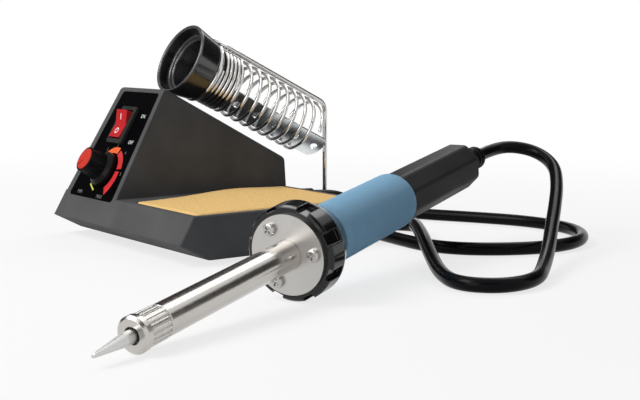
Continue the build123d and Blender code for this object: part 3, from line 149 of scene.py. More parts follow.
@dataclass(frozen=True)
class Facing:
    """A flat face to print on or an axis to turn about, with its own across, up and out directions.

    Attributes:
        origin: The face's origin in the frame, in metres.
        across: Unit direction across the face.
        up: Unit direction up the face.
        out: Unit direction out of the face.
    """

    origin: Vector
    across: Vector
    up: Vector
    out: Vector

    def place(self, across: float, up: float, out: float = 0.0) -> Vector:
        """Give the frame place of a point on the face, whose parts are in millimetres."""
        return self.origin + (self.across * across + self.up * up + self.out * out) * MM

    def matrix(self, across: float, up: float, out: float = 0.0) -> Matrix:
        """Give the matrix that lays a flat object on the face at a place in millimetres."""
        turn = Matrix((self.across, self.up, self.out)).transposed().to_4x4()
        return Matrix.Translation(self.place(across, up, out)) @ turn


class Shader:
    """A material's node tree, with short calls for the nodes that the finishes share."""

    def __init__(self, name: str) -> None:
        """Start a material that has only its surface shader and its output."""
        self.material = bpy.data.materials.new(name)
        self.material.use_nodes = True
        self.tree = self.material.node_tree
        self.surface = self.tree.nodes["Principled BSDF"]
        coordinates = self.tree.nodes.new("ShaderNodeTexCoord")
        self.place = coordinates.outputs["Object"]

    def add(self, kind: str, **settings: object) -> bpy.types.Node:
        """Add a node and set its properties.

        Args:
            kind: Type name of the node.
            settings: The node's own properties by name.

        Returns:
            The node.
        """
        node = self.tree.nodes.new(kind)
        for key, value in settings.items():
            setattr(node, key, value)
        return node

    def link(self, source: bpy.types.NodeSocket, target: bpy.types.NodeSocket) -> None:
        """Join two sockets."""
        self.tree.links.new(source, target)

    def clouds(self, size: float, detail: float = 3.0) -> bpy.types.NodeSocket:
        """Add a soft noise over the object.

        Args:
            size: Size of a cloud in metres.
            detail: Octaves of the noise.

        Returns:
            The noise's value socket.
        """
        node = self.add("ShaderNodeTexNoise")
        node.inputs["Scale"].default_value = 1.0 / size
        node.inputs["Detail"].default_value = detail
        self.link(self.place, node.inputs["Vector"])
        return node.outputs["Fac"]

    def cells(self, size: float, smoothness: float = 0.35) -> bpy.types.NodeSocket:
        """Add rounded cells over the object, dark at their middles.

        Args:
            size: Size of a cell in metres.
            smoothness: How softly the cells run into each other.

        Returns:
            The cells' value socket.
        """
        node = self.add("ShaderNodeTexVoronoi", feature="SMOOTH_F1")
        node.inputs["Scale"].default_value = 1.0 / size
        node.inputs["Smoothness"].default_value = smoothness
        self.link(self.place, node.inputs["Vector"])
        return node.outputs["Distance"]

    def rings(self, axis: Point, size: float, detail: float = 2.0) -> bpy.types.NodeSocket:
        """Add the fine rings that a lathe leaves along an axis.

        Args:
            axis: Direction of the turned piece's axis.
            size: Width of a ring in metres.
            detail: Octaves of the noise.

        Returns:
            The rings' value socket.
        """
        along = self.add("ShaderNodeVectorMath", operation="DOT_PRODUCT")
        along.inputs[1].default_value = axis
        self.link(self.place, along.inputs[0])
        node = self.add("ShaderNodeTexNoise", noise_dimensions="1D")
        node.inputs["Scale"].default_value = 1.0 / size
        node.inputs["Detail"].default_value = detail
        self.link(along.outputs["Value"], node.inputs["W"])
        return node.outputs["Fac"]

    def spread(self, value: bpy.types.NodeSocket, low: float, high: float) -> bpy.types.NodeSocket:
        """Stretch the middle part of a noise's range.

        Args:
            value: The noise's value socket.
            low: What the lower end of that part becomes.
            high: What its upper end becomes.

        Returns:
            The stretched value's socket.
        """
        node = self.add("ShaderNodeMapRange")
        node.inputs["From Min"].default_value = NOISE_LOW
        node.inputs["From Max"].default_value = NOISE_HIGH
        node.inputs["To Min"].default_value = low
        node.inputs["To Max"].default_value = high
        self.link(value, node.inputs["Value"])
        return node.outputs["Result"]

    def tint(self, value: bpy.types.NodeSocket, dark: Colour, light: Colour) -> None:
        """Colour the surface between two shades by a noise.

        Args:
            value: The noise's value socket.
            dark: Colour at the lower end of the noise's middle part.
            light: Colour at its upper end.
        """
        ramp = self.add("ShaderNodeValToRGB")
        ends = ((NOISE_LOW, dark), (NOISE_HIGH, light))
        for element, (position, colour) in zip(ramp.color_ramp.elements, ends):
            element.position = position
            element.color = (*colour, 1.0)
        self.link(value, ramp.inputs["Fac"])
        self.link(ramp.outputs["Color"], self.surface.inputs["Base Color"])

    def soften(self, radius: float, samples: int = 6) -> None:
        """Round the surface's normals over its edges and facets.

        Args:
            radius: Radius of the rounding in metres.
            samples: Rays that look for an edge.
        """
        node = self.add("ShaderNodeBevel", samples=samples)
        node.inputs["Radius"].default_value = radius
        self.link(node.outputs["Normal"], self.surface.inputs["Normal"])

    def bump(self, value: bpy.types.NodeSocket, depth: float, strength: float) -> None:
        """Raise the surface by a noise, on top of any bump that is there already.

        Args:
            value: The noise's value socket.
            depth: Height of the bump in metres.
            strength: Share of the bump that shows.
        """
        node = self.add("ShaderNodeBump")
        node.inputs["Distance"].default_value = depth
        node.inputs["Strength"].default_value = strength
        self.link(value, node.inputs["Height"])
        normal = self.surface.inputs["Normal"]
        if normal.is_linked:
            self.link(normal.links[0].from_socket, node.inputs["Normal"])
        self.link(node.outputs["Normal"], normal)


@dataclass(frozen=True)
class Finish:
    """The look of one kind of surface.

    Attributes:
        name: Name of the material.
        colour: Linear base colour.
        roughness: Middle roughness.
        grain: How the surface is worked.
        metal: Whether it is bare metal.
        grain_size: Size of the surface's grain in metres.
        grain_depth: Height of the grain in metres.
        shade: Part by which the colour varies.
        coat: Strength of a clear gloss on top.
        gloss: Level of the plain gloss, 0.5 on a bare plastic.
        edge: Radius in metres by which edges look rounded.
        axis: Axis of a turned piece.
        cloud_size: Size in metres of the clouds in which colour and roughness vary.
        wear: Part by which the roughness varies.
        coat_roughness: Roughness of the clear gloss.
    """

    name: str
    colour: Colour
    roughness: float
    grain: Grain = Grain.MOULDED
    metal: bool = False
    grain_size: float = 0.0006
    grain_depth: float = 0.00003
    shade: float = 0.12
    coat: float = 0.0
    gloss: float = 0.5
    edge: float = 0.0
    axis: Point = (0.0, 0.0, 1.0)
    cloud_size: float = 0.018
    wear: float = 0.15
    coat_roughness: float = 0.12

    def shaded(self, factor: float) -> Colour:
        """Give the base colour made lighter or darker."""
        return tuple(min(1.0, part * factor) for part in self.colour)

    def material(self) -> bpy.types.Material:
        """Build the material, or give it back where it is built already.

        Returns:
            The material with this finish.
        """
        label = f"finish_{self.name}"
        known = bpy.data.materials.get(label)
        if known is not None:
            return known
        shader = Shader(label)
        surface = shader.surface.inputs
        surface["Metallic"].default_value = 1.0 if self.metal else 0.0
        surface["Specular IOR Level"].default_value = self.gloss
        surface["Coat Weight"].default_value = self.coat
        surface["Coat Roughness"].default_value = self.coat_roughness
        wide = shader.clouds(self.cloud_size, detail=4.0)
        shader.tint(wide, self.shaded(1.0 - self.shade), self.shaded(1.0 + self.shade))
        self.roughen(shader, wide, self.wear)
        if self.edge:
            shader.soften(self.edge)
        self.work(shader)
        return shader.material

    def roughen(self, shader: Shader, value: bpy.types.NodeSocket, part: float) -> None:
        """Let the roughness vary by a noise value, by a part of itself to each side."""
        worn = shader.spread(value, self.roughness * (1.0 - part), self.roughness * (1.0 + part))
        shader.link(worn, shader.surface.inputs["Roughness"])

    def work(self, shader: Shader) -> None:
        """Add the grain of the surface to a material.

        Args:
            shader: The material's node tree.
        """
        if self.grain is Grain.MOULDED:
            shader.bump(shader.clouds(self.grain_size, detail=2.0), self.grain_depth, strength=0.6)
            shader.bump(shader.clouds(SINK_SIZE, detail=1.0), SINK_DEPTH, strength=0.25)
        elif self.grain is Grain.POLISHED:
            shader.bump(shader.clouds(POLISH_SIZE, detail=3.0), POLISH_DEPTH, strength=0.3)
        elif self.grain is Grain.TURNED:
            rings = shader.rings(self.axis, self.grain_size)
            shader.bump(rings, self.grain_depth, strength=0.35)
            self.roughen(shader, rings, part=0.3)
        elif self.grain is Grain.FOAM:
            shader.bump(shader.clouds(self.grain_size, detail=4.0), self.grain_depth, strength=0.8)
            shader.bump(shader.cells(self.grain_size * 1.8), self.grain_depth, strength=0.4)
            shader.surface.inputs["Sheen Weight"].default_value = 0.08
            shader.surface.inputs["Sheen Roughness"].default_value = 0.5
        elif self.grain is Grain.CELLULOSE:
            pores = shader.cells(self.grain_size)
            shader.tint(pores, dark=self.shaded(0.94), light=self.shaded(1.02))
            shader.bump(pores, self.grain_depth, strength=0.9)
            fibres = shader.clouds(self.grain_size * 0.35, detail=3.0)
            shader.bump(fibres, self.grain_depth * 0.4, strength=0.7)


IRON_AXIS = (-0.387359, 0.912560, 0.131099)
HOUSING = Finish("housing_grey", (0.088, 0.088, 0.090), 0.58, grain_size=0.0005, grain_depth=0.00004,
                 gloss=0.02, edge=0.0007)
COVER = Finish("cover_grey", (0.06, 0.06, 0.062), 0.65, gloss=0.02, edge=0.0004)
PANEL = Finish("panel_black", (0.0018, 0.0018, 0.0022), 0.5, grain_depth=0.00001, gloss=0.004)
SWITCH = Finish("switch_black", (0.032, 0.032, 0.031), 0.3, grain_depth=0.00001, gloss=0.02)
ROCKER = Finish("rocker_red", (0.47, 0.021, 0.025), 0.2, grain_depth=0.000008, shade=0.06, gloss=0.05)
CAP = Finish("cap_red", (0.53, 0.042, 0.030), 0.4, grain_depth=0.00001, shade=0.06, gloss=0.02)
KNOB = Finish("knob_black", (0.007, 0.007, 0.008), 0.27, grain_depth=0.00001, gloss=0.07, edge=0.0003)
ZINC = Finish("zinc_plated", (0.48, 0.47, 0.455), 0.28, Grain.POLISHED, metal=True, shade=0.08)
BRASS = Finish("contact_brass", (0.72, 0.5, 0.2), 0.3, Grain.POLISHED, metal=True)
BOARD = Finish("board_green", (0.02, 0.13, 0.05), 0.4, coat=0.4)
ALUMINIUM = Finish("sink_aluminium", (0.68, 0.69, 0.7), 0.38, Grain.POLISHED, metal=True)
DEVICE = Finish("device_black", (0.02, 0.02, 0.02), 0.6)
RUBBER = Finish("foot_rubber", (0.02, 0.02, 0.021), 0.75)
SPONGE = Finish("sponge_tan", (0.84, 0.56, 0.23), 0.95, Grain.CELLULOSE, grain_size=0.0014,
                grain_depth=0.0003, gloss=0.01)
GLAND = Finish("gland_rubber", (0.008, 0.008, 0.009), 0.4, gloss=0.03)
FUNNEL = Finish("funnel_black", (0.009, 0.009, 0.010), 0.16, Grain.POLISHED, gloss=1.0, edge=0.0016)
CHROME = Finish("wire_chrome", (0.63, 0.615, 0.60), 0.09, Grain.POLISHED, metal=True, shade=0.05, edge=0.0004)
SHEET = Finish("trough_steel", (0.84, 0.87, 0.91), 0.18, Grain.POLISHED, metal=True, shade=0.15)
TIP = Finish("tip_plated", (0.6, 0.6, 0.585), 0.36, Grain.POLISHED, metal=True, shade=0.12)
BARREL = Finish("barrel_polished", (0.54, 0.515, 0.485), 0.19, Grain.TURNED, metal=True, grain_size=0.0002,
                grain_depth=0.000006, shade=0.06, edge=0.0012, axis=IRON_AXIS)
NUT = Finish("nut_polished", (0.56, 0.54, 0.51), 0.22, Grain.TURNED, metal=True, grain_size=0.0003,
             grain_depth=0.000006, shade=0.06, edge=0.0003, axis=IRON_AXIS)
PLATE = Finish("plate_satin", (0.52, 0.505, 0.485), 0.3, Grain.POLISHED, metal=True, shade=0.05)
CERAMIC = Finish("heater_ceramic", (0.8, 0.77, 0.7), 0.6)
COLLAR = Finish("collar_black", (0.005, 0.005, 0.006), 0.16, Grain.POLISHED, gloss=0.4, edge=0.0007)
FOAM = Finish("grip_foam", (0.225, 0.425, 0.61), 0.9, Grain.FOAM, grain_size=0.0007, grain_depth=0.00012,
              shade=0.03, gloss=0.01)
HANDLE = Finish("handle_grey", (0.027, 0.027, 0.028), 0.42, grain_depth=0.00002, gloss=0.05, edge=0.0006)
CORD = Finish("cord_black", (0.004, 0.004, 0.005), 0.22, grain_depth=0.000006, gloss=0.06)
CARD = Finish("card_black", (0.02, 0.02, 0.02), 0.9)
PRINT_WHITE = Finish("print_white", (0.72, 0.72, 0.70), 0.5, Grain.PRINTED, shade=0.04)
PRINT_GREY = Finish("print_grey", (0.17, 0.17, 0.17), 0.5, Grain.PRINTED, shade=0.04)
PRINT_ORANGE = Finish("print_orange", (0.87, 0.125, 0.018), 0.45, Grain.PRINTED, shade=0.05)
PRINT_PALE = Finish("print_pale_orange", (0.80, 0.22, 0.10), 0.45, Grain.PRINTED, shade=0.05)
PRINT_RED = Finish("print_red", (0.58, 0.018, 0.022), 0.45, Grain.PRINTED, shade=0.05)
PRINT_YELLOW = Finish("print_yellow", (0.68, 0.66, 0.12), 0.45, Grain.PRINTED, shade=0.05)

NODE_FINISH = {
    HOUSING: ("housing_shell",),
    COVER: ("bottom_cover",),
    PANEL: ("control_panel",),
    SWITCH: ("switch_frame", "mains_gland"),
    ROCKER: ("rocker_switch",),
    CAP: ("knob_cap",),
    KNOB: ("temperature_knob",),
    ZINC: ("cover_screws", "board_screws", "potentiometer", "potentiometer_nut", "potentiometer_shaft",
           "flange_screws", "heater_leads"),
    BRASS: ("switch_terminals",),
    BOARD: ("power_board",),
    ALUMINIUM: ("heat_sink",),
    DEVICE: ("triac", "choke", "capacitor", "terminal_block"),
    RUBBER: ("rubber_feet",),
    GLAND: ("cord_gland", "cord_boot"),
    FUNNEL: ("holder_funnel",),
    CHROME: ("holder_spring", "stand_wire"),
    SHEET: ("holder_trough",),
    TIP: ("solder_tip",),
    BARREL: ("barrel_tube",),
    NUT: ("tip_nut",),
    PLATE: ("flange_plate",),
    CERAMIC: ("heater_core",),
    COLLAR: ("flange_collar",),
    HANDLE: ("handle",),
}


def mesh_object(name: str, bm: bmesh.types.BMesh, finish: Finish, smooth: bool = True) -> bpy.types.Object:
    """Turn a bmesh into an object in the scene.

    Args:
        name: Name of the object and its mesh.
        bm: The mesh, which is freed.
        finish: Its finish.
        smooth: Whether its faces are shaded smooth.

    Returns:
        The new object.
    """
    bmesh.ops.recalc_face_normals(bm, faces=bm.faces[:])
    mesh = bpy.data.meshes.new(name)
    bm.to_mesh(mesh)
    bm.free()
    mesh.materials.append(finish.material())
    mesh.polygons.foreach_set("use_smooth", [smooth] * len(mesh.polygons))
    piece = bpy.data.objects.new(name, mesh)
    bpy.context.collection.objects.link(piece)
    return piece


def skin(bm: bmesh.types.BMesh, rows: list[list[bmesh.types.BMVert]], closed: bool = False) -> None:
    """Cover closed rows of points with four-sided faces.

    Args:
        bm: The mesh that holds the points.
        rows: The rows, all of the same length.
        closed: Whether the last row joins the first one. Otherwise both are capped.
    """
    followers = rows[1:] + rows[:1] if closed else rows[1:]
    for first, second in zip(rows, followers):
        for side in range(len(first)):
            after = (side + 1) % len(first)
            bm.faces.new((first[side], first[after], second[after], second[side]))
    if not closed:
        bm.faces.new(rows[0])
        bm.faces.new(rows[-1])


def curve_mesh(curve: bpy.types.Curve) -> bpy.types.Mesh:
    """Turn a curve into a mesh, and delete the curve.

    Args:
        curve: The curve or text.

    Returns:
        The mesh that the curve gives.
    """
    holder = bpy.data.objects.new(curve.name, curve)
    bpy.context.collection.objects.link(holder)
    bpy.context.view_layer.update()
    mesh = bpy.data.meshes.new_from_object(holder)
    bpy.data.objects.remove(holder)
    bpy.data.curves.remove(curve)
    return mesh


def shown_rays(tree: bpy.types.NodeTree) -> bpy.types.NodeSocket:
    """Tell the rays to which the background is white: the lens, gloss and clear pieces.

    Args:
        tree: Node tree of a material or of the world.

    Returns:
        A socket that is 1 for such a ray and 0 for any other.
    """
    rays = tree.nodes.new("ShaderNodeLightPath")
    shown = rays.outputs["Is Camera Ray"]
    for kind in ("Is Glossy Ray", "Is Transmission Ray"):
        either = tree.nodes.new("ShaderNodeMath")
        either.operation = "MAXIMUM"
        tree.links.new(shown, either.inputs[0])
        tree.links.new(rays.outputs[kind], either.inputs[1])
        shown = either.outputs[0]
    return shown


def ride_on(piece: bpy.types.Object, body: Body) -> bpy.types.Object:
    """Let a piece move with a body.

    Args:
        piece: The piece.
        body: The body that carries it.

    Returns:
        The piece.
    """
    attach(piece, body.value)
    LOG.info("piece %s rides on %s", piece.name, body.value)
    return piece


def panel_facing(bench: Bench) -> Facing:
    """Give the face of the control panel.

    Args:
        bench: The bench.

    Returns:
        The face, whose origin is the lower left corner of the front slope.
    """
    run = 37.0
    rise = 63.5
    foot = 9.5
    recess = 0.2
    up = Vector((0.0, run, rise)).normalized()
    out = Vector((0.0, -rise, run)).normalized()
    return Facing(bench.at(0.0, 0.0, foot) - out * recess * MM, Vector((1.0, 0.0, 0.0)), up, out)


@dataclass
class PanelPrint:
    """The print on the control panel: switch words, dial scale and its numbers.

    Attributes:
        panel: The panel's face.
        dial: Place of the dial across and up the panel.
        ink: Thickness of the print.
        word_size: Height of the words.
        number_size: Height of the dial's numbers.
        letter_fit: Size of the font for letters of height 1.
        words: Each word, its place across and up the panel, and its finish.
        bands: Each band's first and last angle, first radius, width and finish.
        band_gain: How much further out a band ends than it begins.
        band_widths: Parts of its width by which a band begins and then grows.
        band_steps: Steps along a band.
        numbers: Each number with its angle and radius on the dial.
        tick_angle: Angle of the yellow mark on the dial, in degrees.
        tick_radius: Radius of its middle.
        tick_lean: Its direction, in degrees from across the panel.
        tick_outline: Its corners along and across itself.
    """

    panel: Facing
    dial: tuple[float, float] = (29.6, 27.4)
    ink: float = 0.05
    word_size: float = 2.0
    number_size: float = 1.7
    letter_fit: float = 1.35
    words: tuple[tuple[str, float, float, Finish], ...] = (
        ("ON", 41.0, 57.6, PRINT_WHITE),
        ("OFF", 41.0, 43.4, PRINT_WHITE),
        ("MIN", 14.6, 14.4, PRINT_GREY),
        ("MAX", 36.0, 13.7, PRINT_GREY),
    )
    bands: tuple[tuple[float, float, float, float, Finish], ...] = (
        (156.0, 128.0, 9.8, 1.6, PRINT_PALE),
        (123.0, 68.0, 10.3, 3.0, PRINT_ORANGE),
        (62.0, 8.0, 11.2, 3.6, PRINT_RED),
        (2.0, -52.0, 12.0, 4.2, PRINT_RED),
    )
    band_gain: float = 1.3
    band_widths: tuple[float, float] = (0.85, 0.3)
    band_steps: int = 28
    numbers: tuple[tuple[str, float, float], ...] = (
        ("1", 160.0, 12.6), ("2", 125.0, 13.2), ("3", 88.0, 14.0), ("4", 42.0, 15.4), ("5", -2.0, 16.4),
    )
    tick_angle: float = 241.0
    tick_radius: float = 10.9
    tick_lean: float = 333.0
    tick_outline: tuple[tuple[float, float], ...] = ((-3.2, -0.35), (3.2, -0.45), (3.2, 0.45), (-3.2, 0.35))

    def on_dial(self, angle: float, radius: float) -> tuple[float, float]:
        """Give the place across and up the panel at an angle in degrees and a radius on the dial."""
        turn = math.radians(angle)
        return self.dial[0] + radius * math.cos(turn), self.dial[1] + radius * math.sin(turn)

    def lettering(self, text: str, across: float, up: float, size: float) -> bmesh.types.BMesh:
        """Build flat letters on the panel.

        Args:
            text: The letters.
            across: Middle of the word across the panel.
            up: Middle of the word up the panel.
            size: Height of the letters in millimetres.

        Returns:
            A mesh of the letters in the frame.
        """
        curve = bpy.data.curves.new("lettering", "FONT")
        curve.body = text
        curve.size = size * self.letter_fit * MM
        curve.align_x = "CENTER"
        curve.align_y = "CENTER"
        curve.extrude = self.ink * MM / 2
        mesh = curve_mesh(curve)
        mesh.transform(self.panel.matrix(across, up, self.ink / 2))
        bm = bmesh.new()
        bm.from_mesh(mesh)
        bpy.data.meshes.remove(mesh)
        return bm

    def band(self, start: float, end: float, radius: float, width: float) -> bmesh.types.BMesh:
        """Build one coloured band of the dial scale, widening along its sweep.

        Args:
            start: Angle where the band begins, in degrees from across the panel.
            end: Angle where it ends.
            radius: Middle radius at its start.
            width: Width at its middle.

        Returns:
            A mesh of the band in the frame.
        """
        bm = bmesh.new()
        rows = []
        for step in range(self.band_steps + 1):
            part = step / self.band_steps
            angle = start + (end - start) * part
            middle = radius + self.band_gain * part
            half = width / 2 * (self.band_widths[0] + self.band_widths[1] * part)
            row = []
            for reach, height in ((-half, 0.0), (half, 0.0), (half, self.ink), (-half, self.ink)):
                across, up = self.on_dial(angle, middle + reach)
                row.append(bm.verts.new(self.panel.place(across, up, height)))
            rows.append(row)
        skin(bm, rows)
        return bm

    def tick(self) -> bmesh.types.BMesh:
        """Build the short yellow mark where the scale begins.

        Returns:
            A mesh of the mark in the frame.
        """
        bm = bmesh.new()
        lean = math.radians(self.tick_lean)
        along = self.panel.across * math.cos(lean) + self.panel.up * math.sin(lean)
        centre = self.panel.place(*self.on_dial(self.tick_angle, self.tick_radius))
        mark = Facing(centre, along, self.panel.out.cross(along), self.panel.out)
        rows = []
        for height in (0.0, self.ink):
            rows.append([bm.verts.new(mark.place(reach, side, height)) for reach, side in self.tick_outline])
        skin(bm, rows)
        return bm

    def lay(self, name: str, bm: bmesh.types.BMesh, finish: Finish) -> None:
        """Lay one piece of the print on the panel."""
        ride_on(mesh_object(name, bm, finish, smooth=False), Body.STATION)

    def build(self) -> None:
        """Lay all the print on the panel."""
        for text, across, up, finish in self.words:
            self.lay(f"print_{text.lower()}", self.lettering(text, across, up, self.word_size), finish)
        for text, angle, radius in self.numbers:
            across, up = self.on_dial(angle, radius)
            self.lay(f"print_{text}", self.lettering(text, across, up, self.number_size), PRINT_GREY)
        for index, (start, end, radius, width, finish) in enumerate(self.bands):
            self.lay(f"scale_band_{index}", self.band(start, end, radius, width), finish)
        self.lay("scale_tick", self.tick(), PRINT_YELLOW)


@dataclass
class RockerMarks:
    """The line and the ring on the two halves of the rocker.

    Attributes:
        panel: The panel's face.
        across: Place of the rocker's pivot across the panel.
        up: Place of the pivot up the panel.
        pivot_height: Height of the pivot over the panel.
        rest_turn: Turn of the rocker at rest, in degrees.
        half_length: Length of a half from the pivot.
        end_height: Height of a half's end over the pivot.
        dip: Height of the rocker's middle over the pivot.
        ink: Thickness of the marks.
        line_width: Width of the line.
        line_length: Its length.
        line_up: How far it lies above the middle of its half.
        ring_radii: Inner and outer radius of the ring.
        ring_steps: Steps around the ring.
    """

    panel: Facing
    across: float = 26.4
    up: float = 51.8
    pivot_height: float = 0.7
    rest_turn: float = 10.0
    half_length: float = 7.0
    end_height: float = 3.2
    dip: float = 1.5
    ink: float = 0.05
    line_width: float = 0.75
    line_length: float = 3.0
    line_up: float = 0.2
    ring_radii: tuple[float, float] = (1.0, 1.6)
    ring_steps: int = 40

    def half(self, sign: int) -> Facing:
        """Give the face of one half of the rocker.

        Args:
            sign: 1 for the upper half and -1 for the lower one.

        Returns:
            The face, whose origin is the middle of the half.
        """
        turn = math.radians(self.rest_turn)
        along = self.panel.up * math.cos(turn) + self.panel.out * math.sin(turn)
        out = self.panel.out * math.cos(turn) - self.panel.up * math.sin(turn)
        pivot = self.panel.place(self.across, self.up, self.pivot_height)
        middle = pivot + (along * sign * self.half_length / 2 + out * (self.end_height + self.dip) / 2) * MM
        rise = (along * sign * self.half_length + out * (self.end_height - self.dip)).normalized()
        up = rise * sign
        return Facing(middle, self.panel.across, up, self.panel.across.cross(up))

    def line(self) -> bmesh.types.BMesh:
        """Build the line of the upper half.

        Returns:
            A mesh of the line in the frame.
        """
        bm = bmesh.new()
        face = self.half(1)
        bmesh.ops.create_cube(bm, size=1.0)
        scale = Matrix.Diagonal((self.line_width * MM, self.line_length * MM, 2 * self.ink * MM, 1.0))
        place = face.matrix(0.0, self.line_up, self.ink / 2)
        bmesh.ops.transform(bm, matrix=place @ scale, verts=bm.verts)
        return bm

    def ring(self) -> bmesh.types.BMesh:
        """Build the ring of the lower half.

        Returns:
            A mesh of the ring in the frame.
        """
        bm = bmesh.new()
        face = self.half(-1)
        inner, outer = self.ring_radii
        section = ((inner, -self.ink), (outer, -self.ink), (outer, self.ink), (inner, self.ink))
        rows = []
        for step in range(self.ring_steps):
            angle = 2 * math.pi * step / self.ring_steps
            row = []
            for radius, height in section:
                place = face.place(radius * math.cos(angle), radius * math.sin(angle), height)
                row.append(bm.verts.new(place))
            rows.append(row)
        skin(bm, rows, closed=True)
        return bm

    def build(self) -> None:
        """Put both marks on the rocker."""
        for name, bm in (("rocker_line", self.line()), ("rocker_ring", self.ring())):
            ride_on(mesh_object(name, bm, PRINT_WHITE, smooth=False), Body.ROCKER)


@dataclass
class SpongePad:
    """The damp cellulose pad in the tray.

    Attributes:
        bench: The bench.
        corners: Its plan corners, front left first and then anticlockwise.
        low: Height of its underside.
        high: Height of its top at the edges.
        crown: Rise of its middle.
        wave: Rise of its edge by the tower.
        rounding: Radius of its upper edge.
        width: Its width, as far as the rounding goes by it.
        depth: Its depth, in the same way.
        wave_middle: Part of the depth at which the edge by the tower is highest.
        wave_spread: Part of the depth over which that rise falls off.
        pore_rate: Open pores in a millimetre.
        pore_level: Noise value above which a pore opens.
        pore_depth: Depth of the pores for a noise value of 1.
        fine_rate: Fine pits in a millimetre.
        fine_depth: Depth of the fine pits for a noise value of 1.
        across_steps: Steps of the mesh across the pad.
        along_steps: Steps of the mesh along the pad.
    """

    bench: Bench
    corners: tuple[tuple[float, float], ...] = ((68.4, 9.79), (122.2, 9.79), (122.2, 99.6), (56.4, 99.6))
    low: float = 12.72
    high: float = 21.9
    crown: float = 0.55
    wave: float = 1.6
    rounding: float = 1.5
    width: float = 58.0
    depth: float = 90.0
    wave_middle: float = 0.62
    wave_spread: float = 0.26
    pore_rate: float = 0.9
    pore_level: float = 0.12
    pore_depth: float = 0.22
    fine_rate: float = 2.3
    fine_depth: float = 0.1
    across_steps: int = 62
    along_steps: int = 82

    def plan(self, across: float, along: float) -> Vector:
        """Give the plan place at a part of the way across and along the pad."""
        front = Vector(self.corners[0]).lerp(Vector(self.corners[1]), across)
        rear = Vector(self.corners[3]).lerp(Vector(self.corners[2]), across)
        return front.lerp(rear, along)

    def top(self, across: float, along: float) -> float:
        """Give the height of the pad's top.

        Args:
            across: Part of the way across the pad, from the tower.
            along: Part of the way along the pad, from the front.

        Returns:
            The height over the bench.
        """
        side = min(across, 1 - across) * self.width
        end = min(along, 1 - along) * self.depth
        lack = max(0.0, 1.0 - min(side, end) / self.rounding)
        drop = self.rounding * (1 - math.sqrt(max(0.0, 1 - lack * lack)))
        swell = math.sin(math.pi * across) ** 0.5 * math.sin(math.pi * along) ** 0.5
        away = (along - self.wave_middle) / self.wave_spread
        lift = self.wave * (1 - across) ** 2 * math.exp(-(away ** 2))
        return self.high + self.crown * swell + lift - drop

    def pits(self, place: Vector) -> float:
        """Give the depth of the open pores at a place of the top.

        Args:
            place: The place on the bench.

        Returns:
            The depth in millimetres.
        """
        shift = Vector((7.0, 3.0, 1.0))
        pore = noise.noise(place * self.pore_rate)
        fine = noise.noise(place * self.fine_rate + shift)
        return self.pore_depth * max(0.0, pore - self.pore_level) + self.fine_depth * max(0.0, fine)

    def build(self) -> bpy.types.Object:
        """Build the pad in place of the plain solid.

        Returns:
            The pad.
        """
        bm = bmesh.new()
        layers = []
        for layer in range(2):
            grid = []
            for i in range(self.across_steps + 1):
                row = []
                for j in range(self.along_steps + 1):
                    across, along = i / self.across_steps, j / self.along_steps
                    plan = self.plan(across, along)
                    height = self.low
                    if layer:
                        height = self.top(across, along)
                        height -= self.pits(Vector((plan.x, plan.y, height)))
                    row.append(bm.verts.new(self.bench.at(plan.x, plan.y, height)))
                grid.append(row)
            layers.append(grid)
        for grid in layers:
            for first, second in zip(grid, grid[1:]):
                for j in range(self.along_steps):
                    bm.faces.new((first[j], first[j + 1], second[j + 1], second[j]))
        for low, high in zip(self.rim(layers[0]), self.rim(layers[1])):
            bm.faces.new((low[0], low[1], high[1], high[0]))
        piece = mesh_object("sponge_pad", bm, SPONGE)
        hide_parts("sponge")
        return ride_on(piece, Body.SPONGE)

    def rim(self, grid: list[list[bmesh.types.BMVert]]) -> list[tuple[bmesh.types.BMVert, ...]]:
        """List the edges of a grid's outline in order.

        Args:
            grid: Rows of points.

        Returns:
            The first and last point of each edge.
        """
        loop = [row[0] for row in grid] + grid[-1][1:] + [row[-1] for row in reversed(grid[:-1])]
        loop += list(reversed(grid[0][1:-1]))
        return list(zip(loop, loop[1:] + loop[:1]))


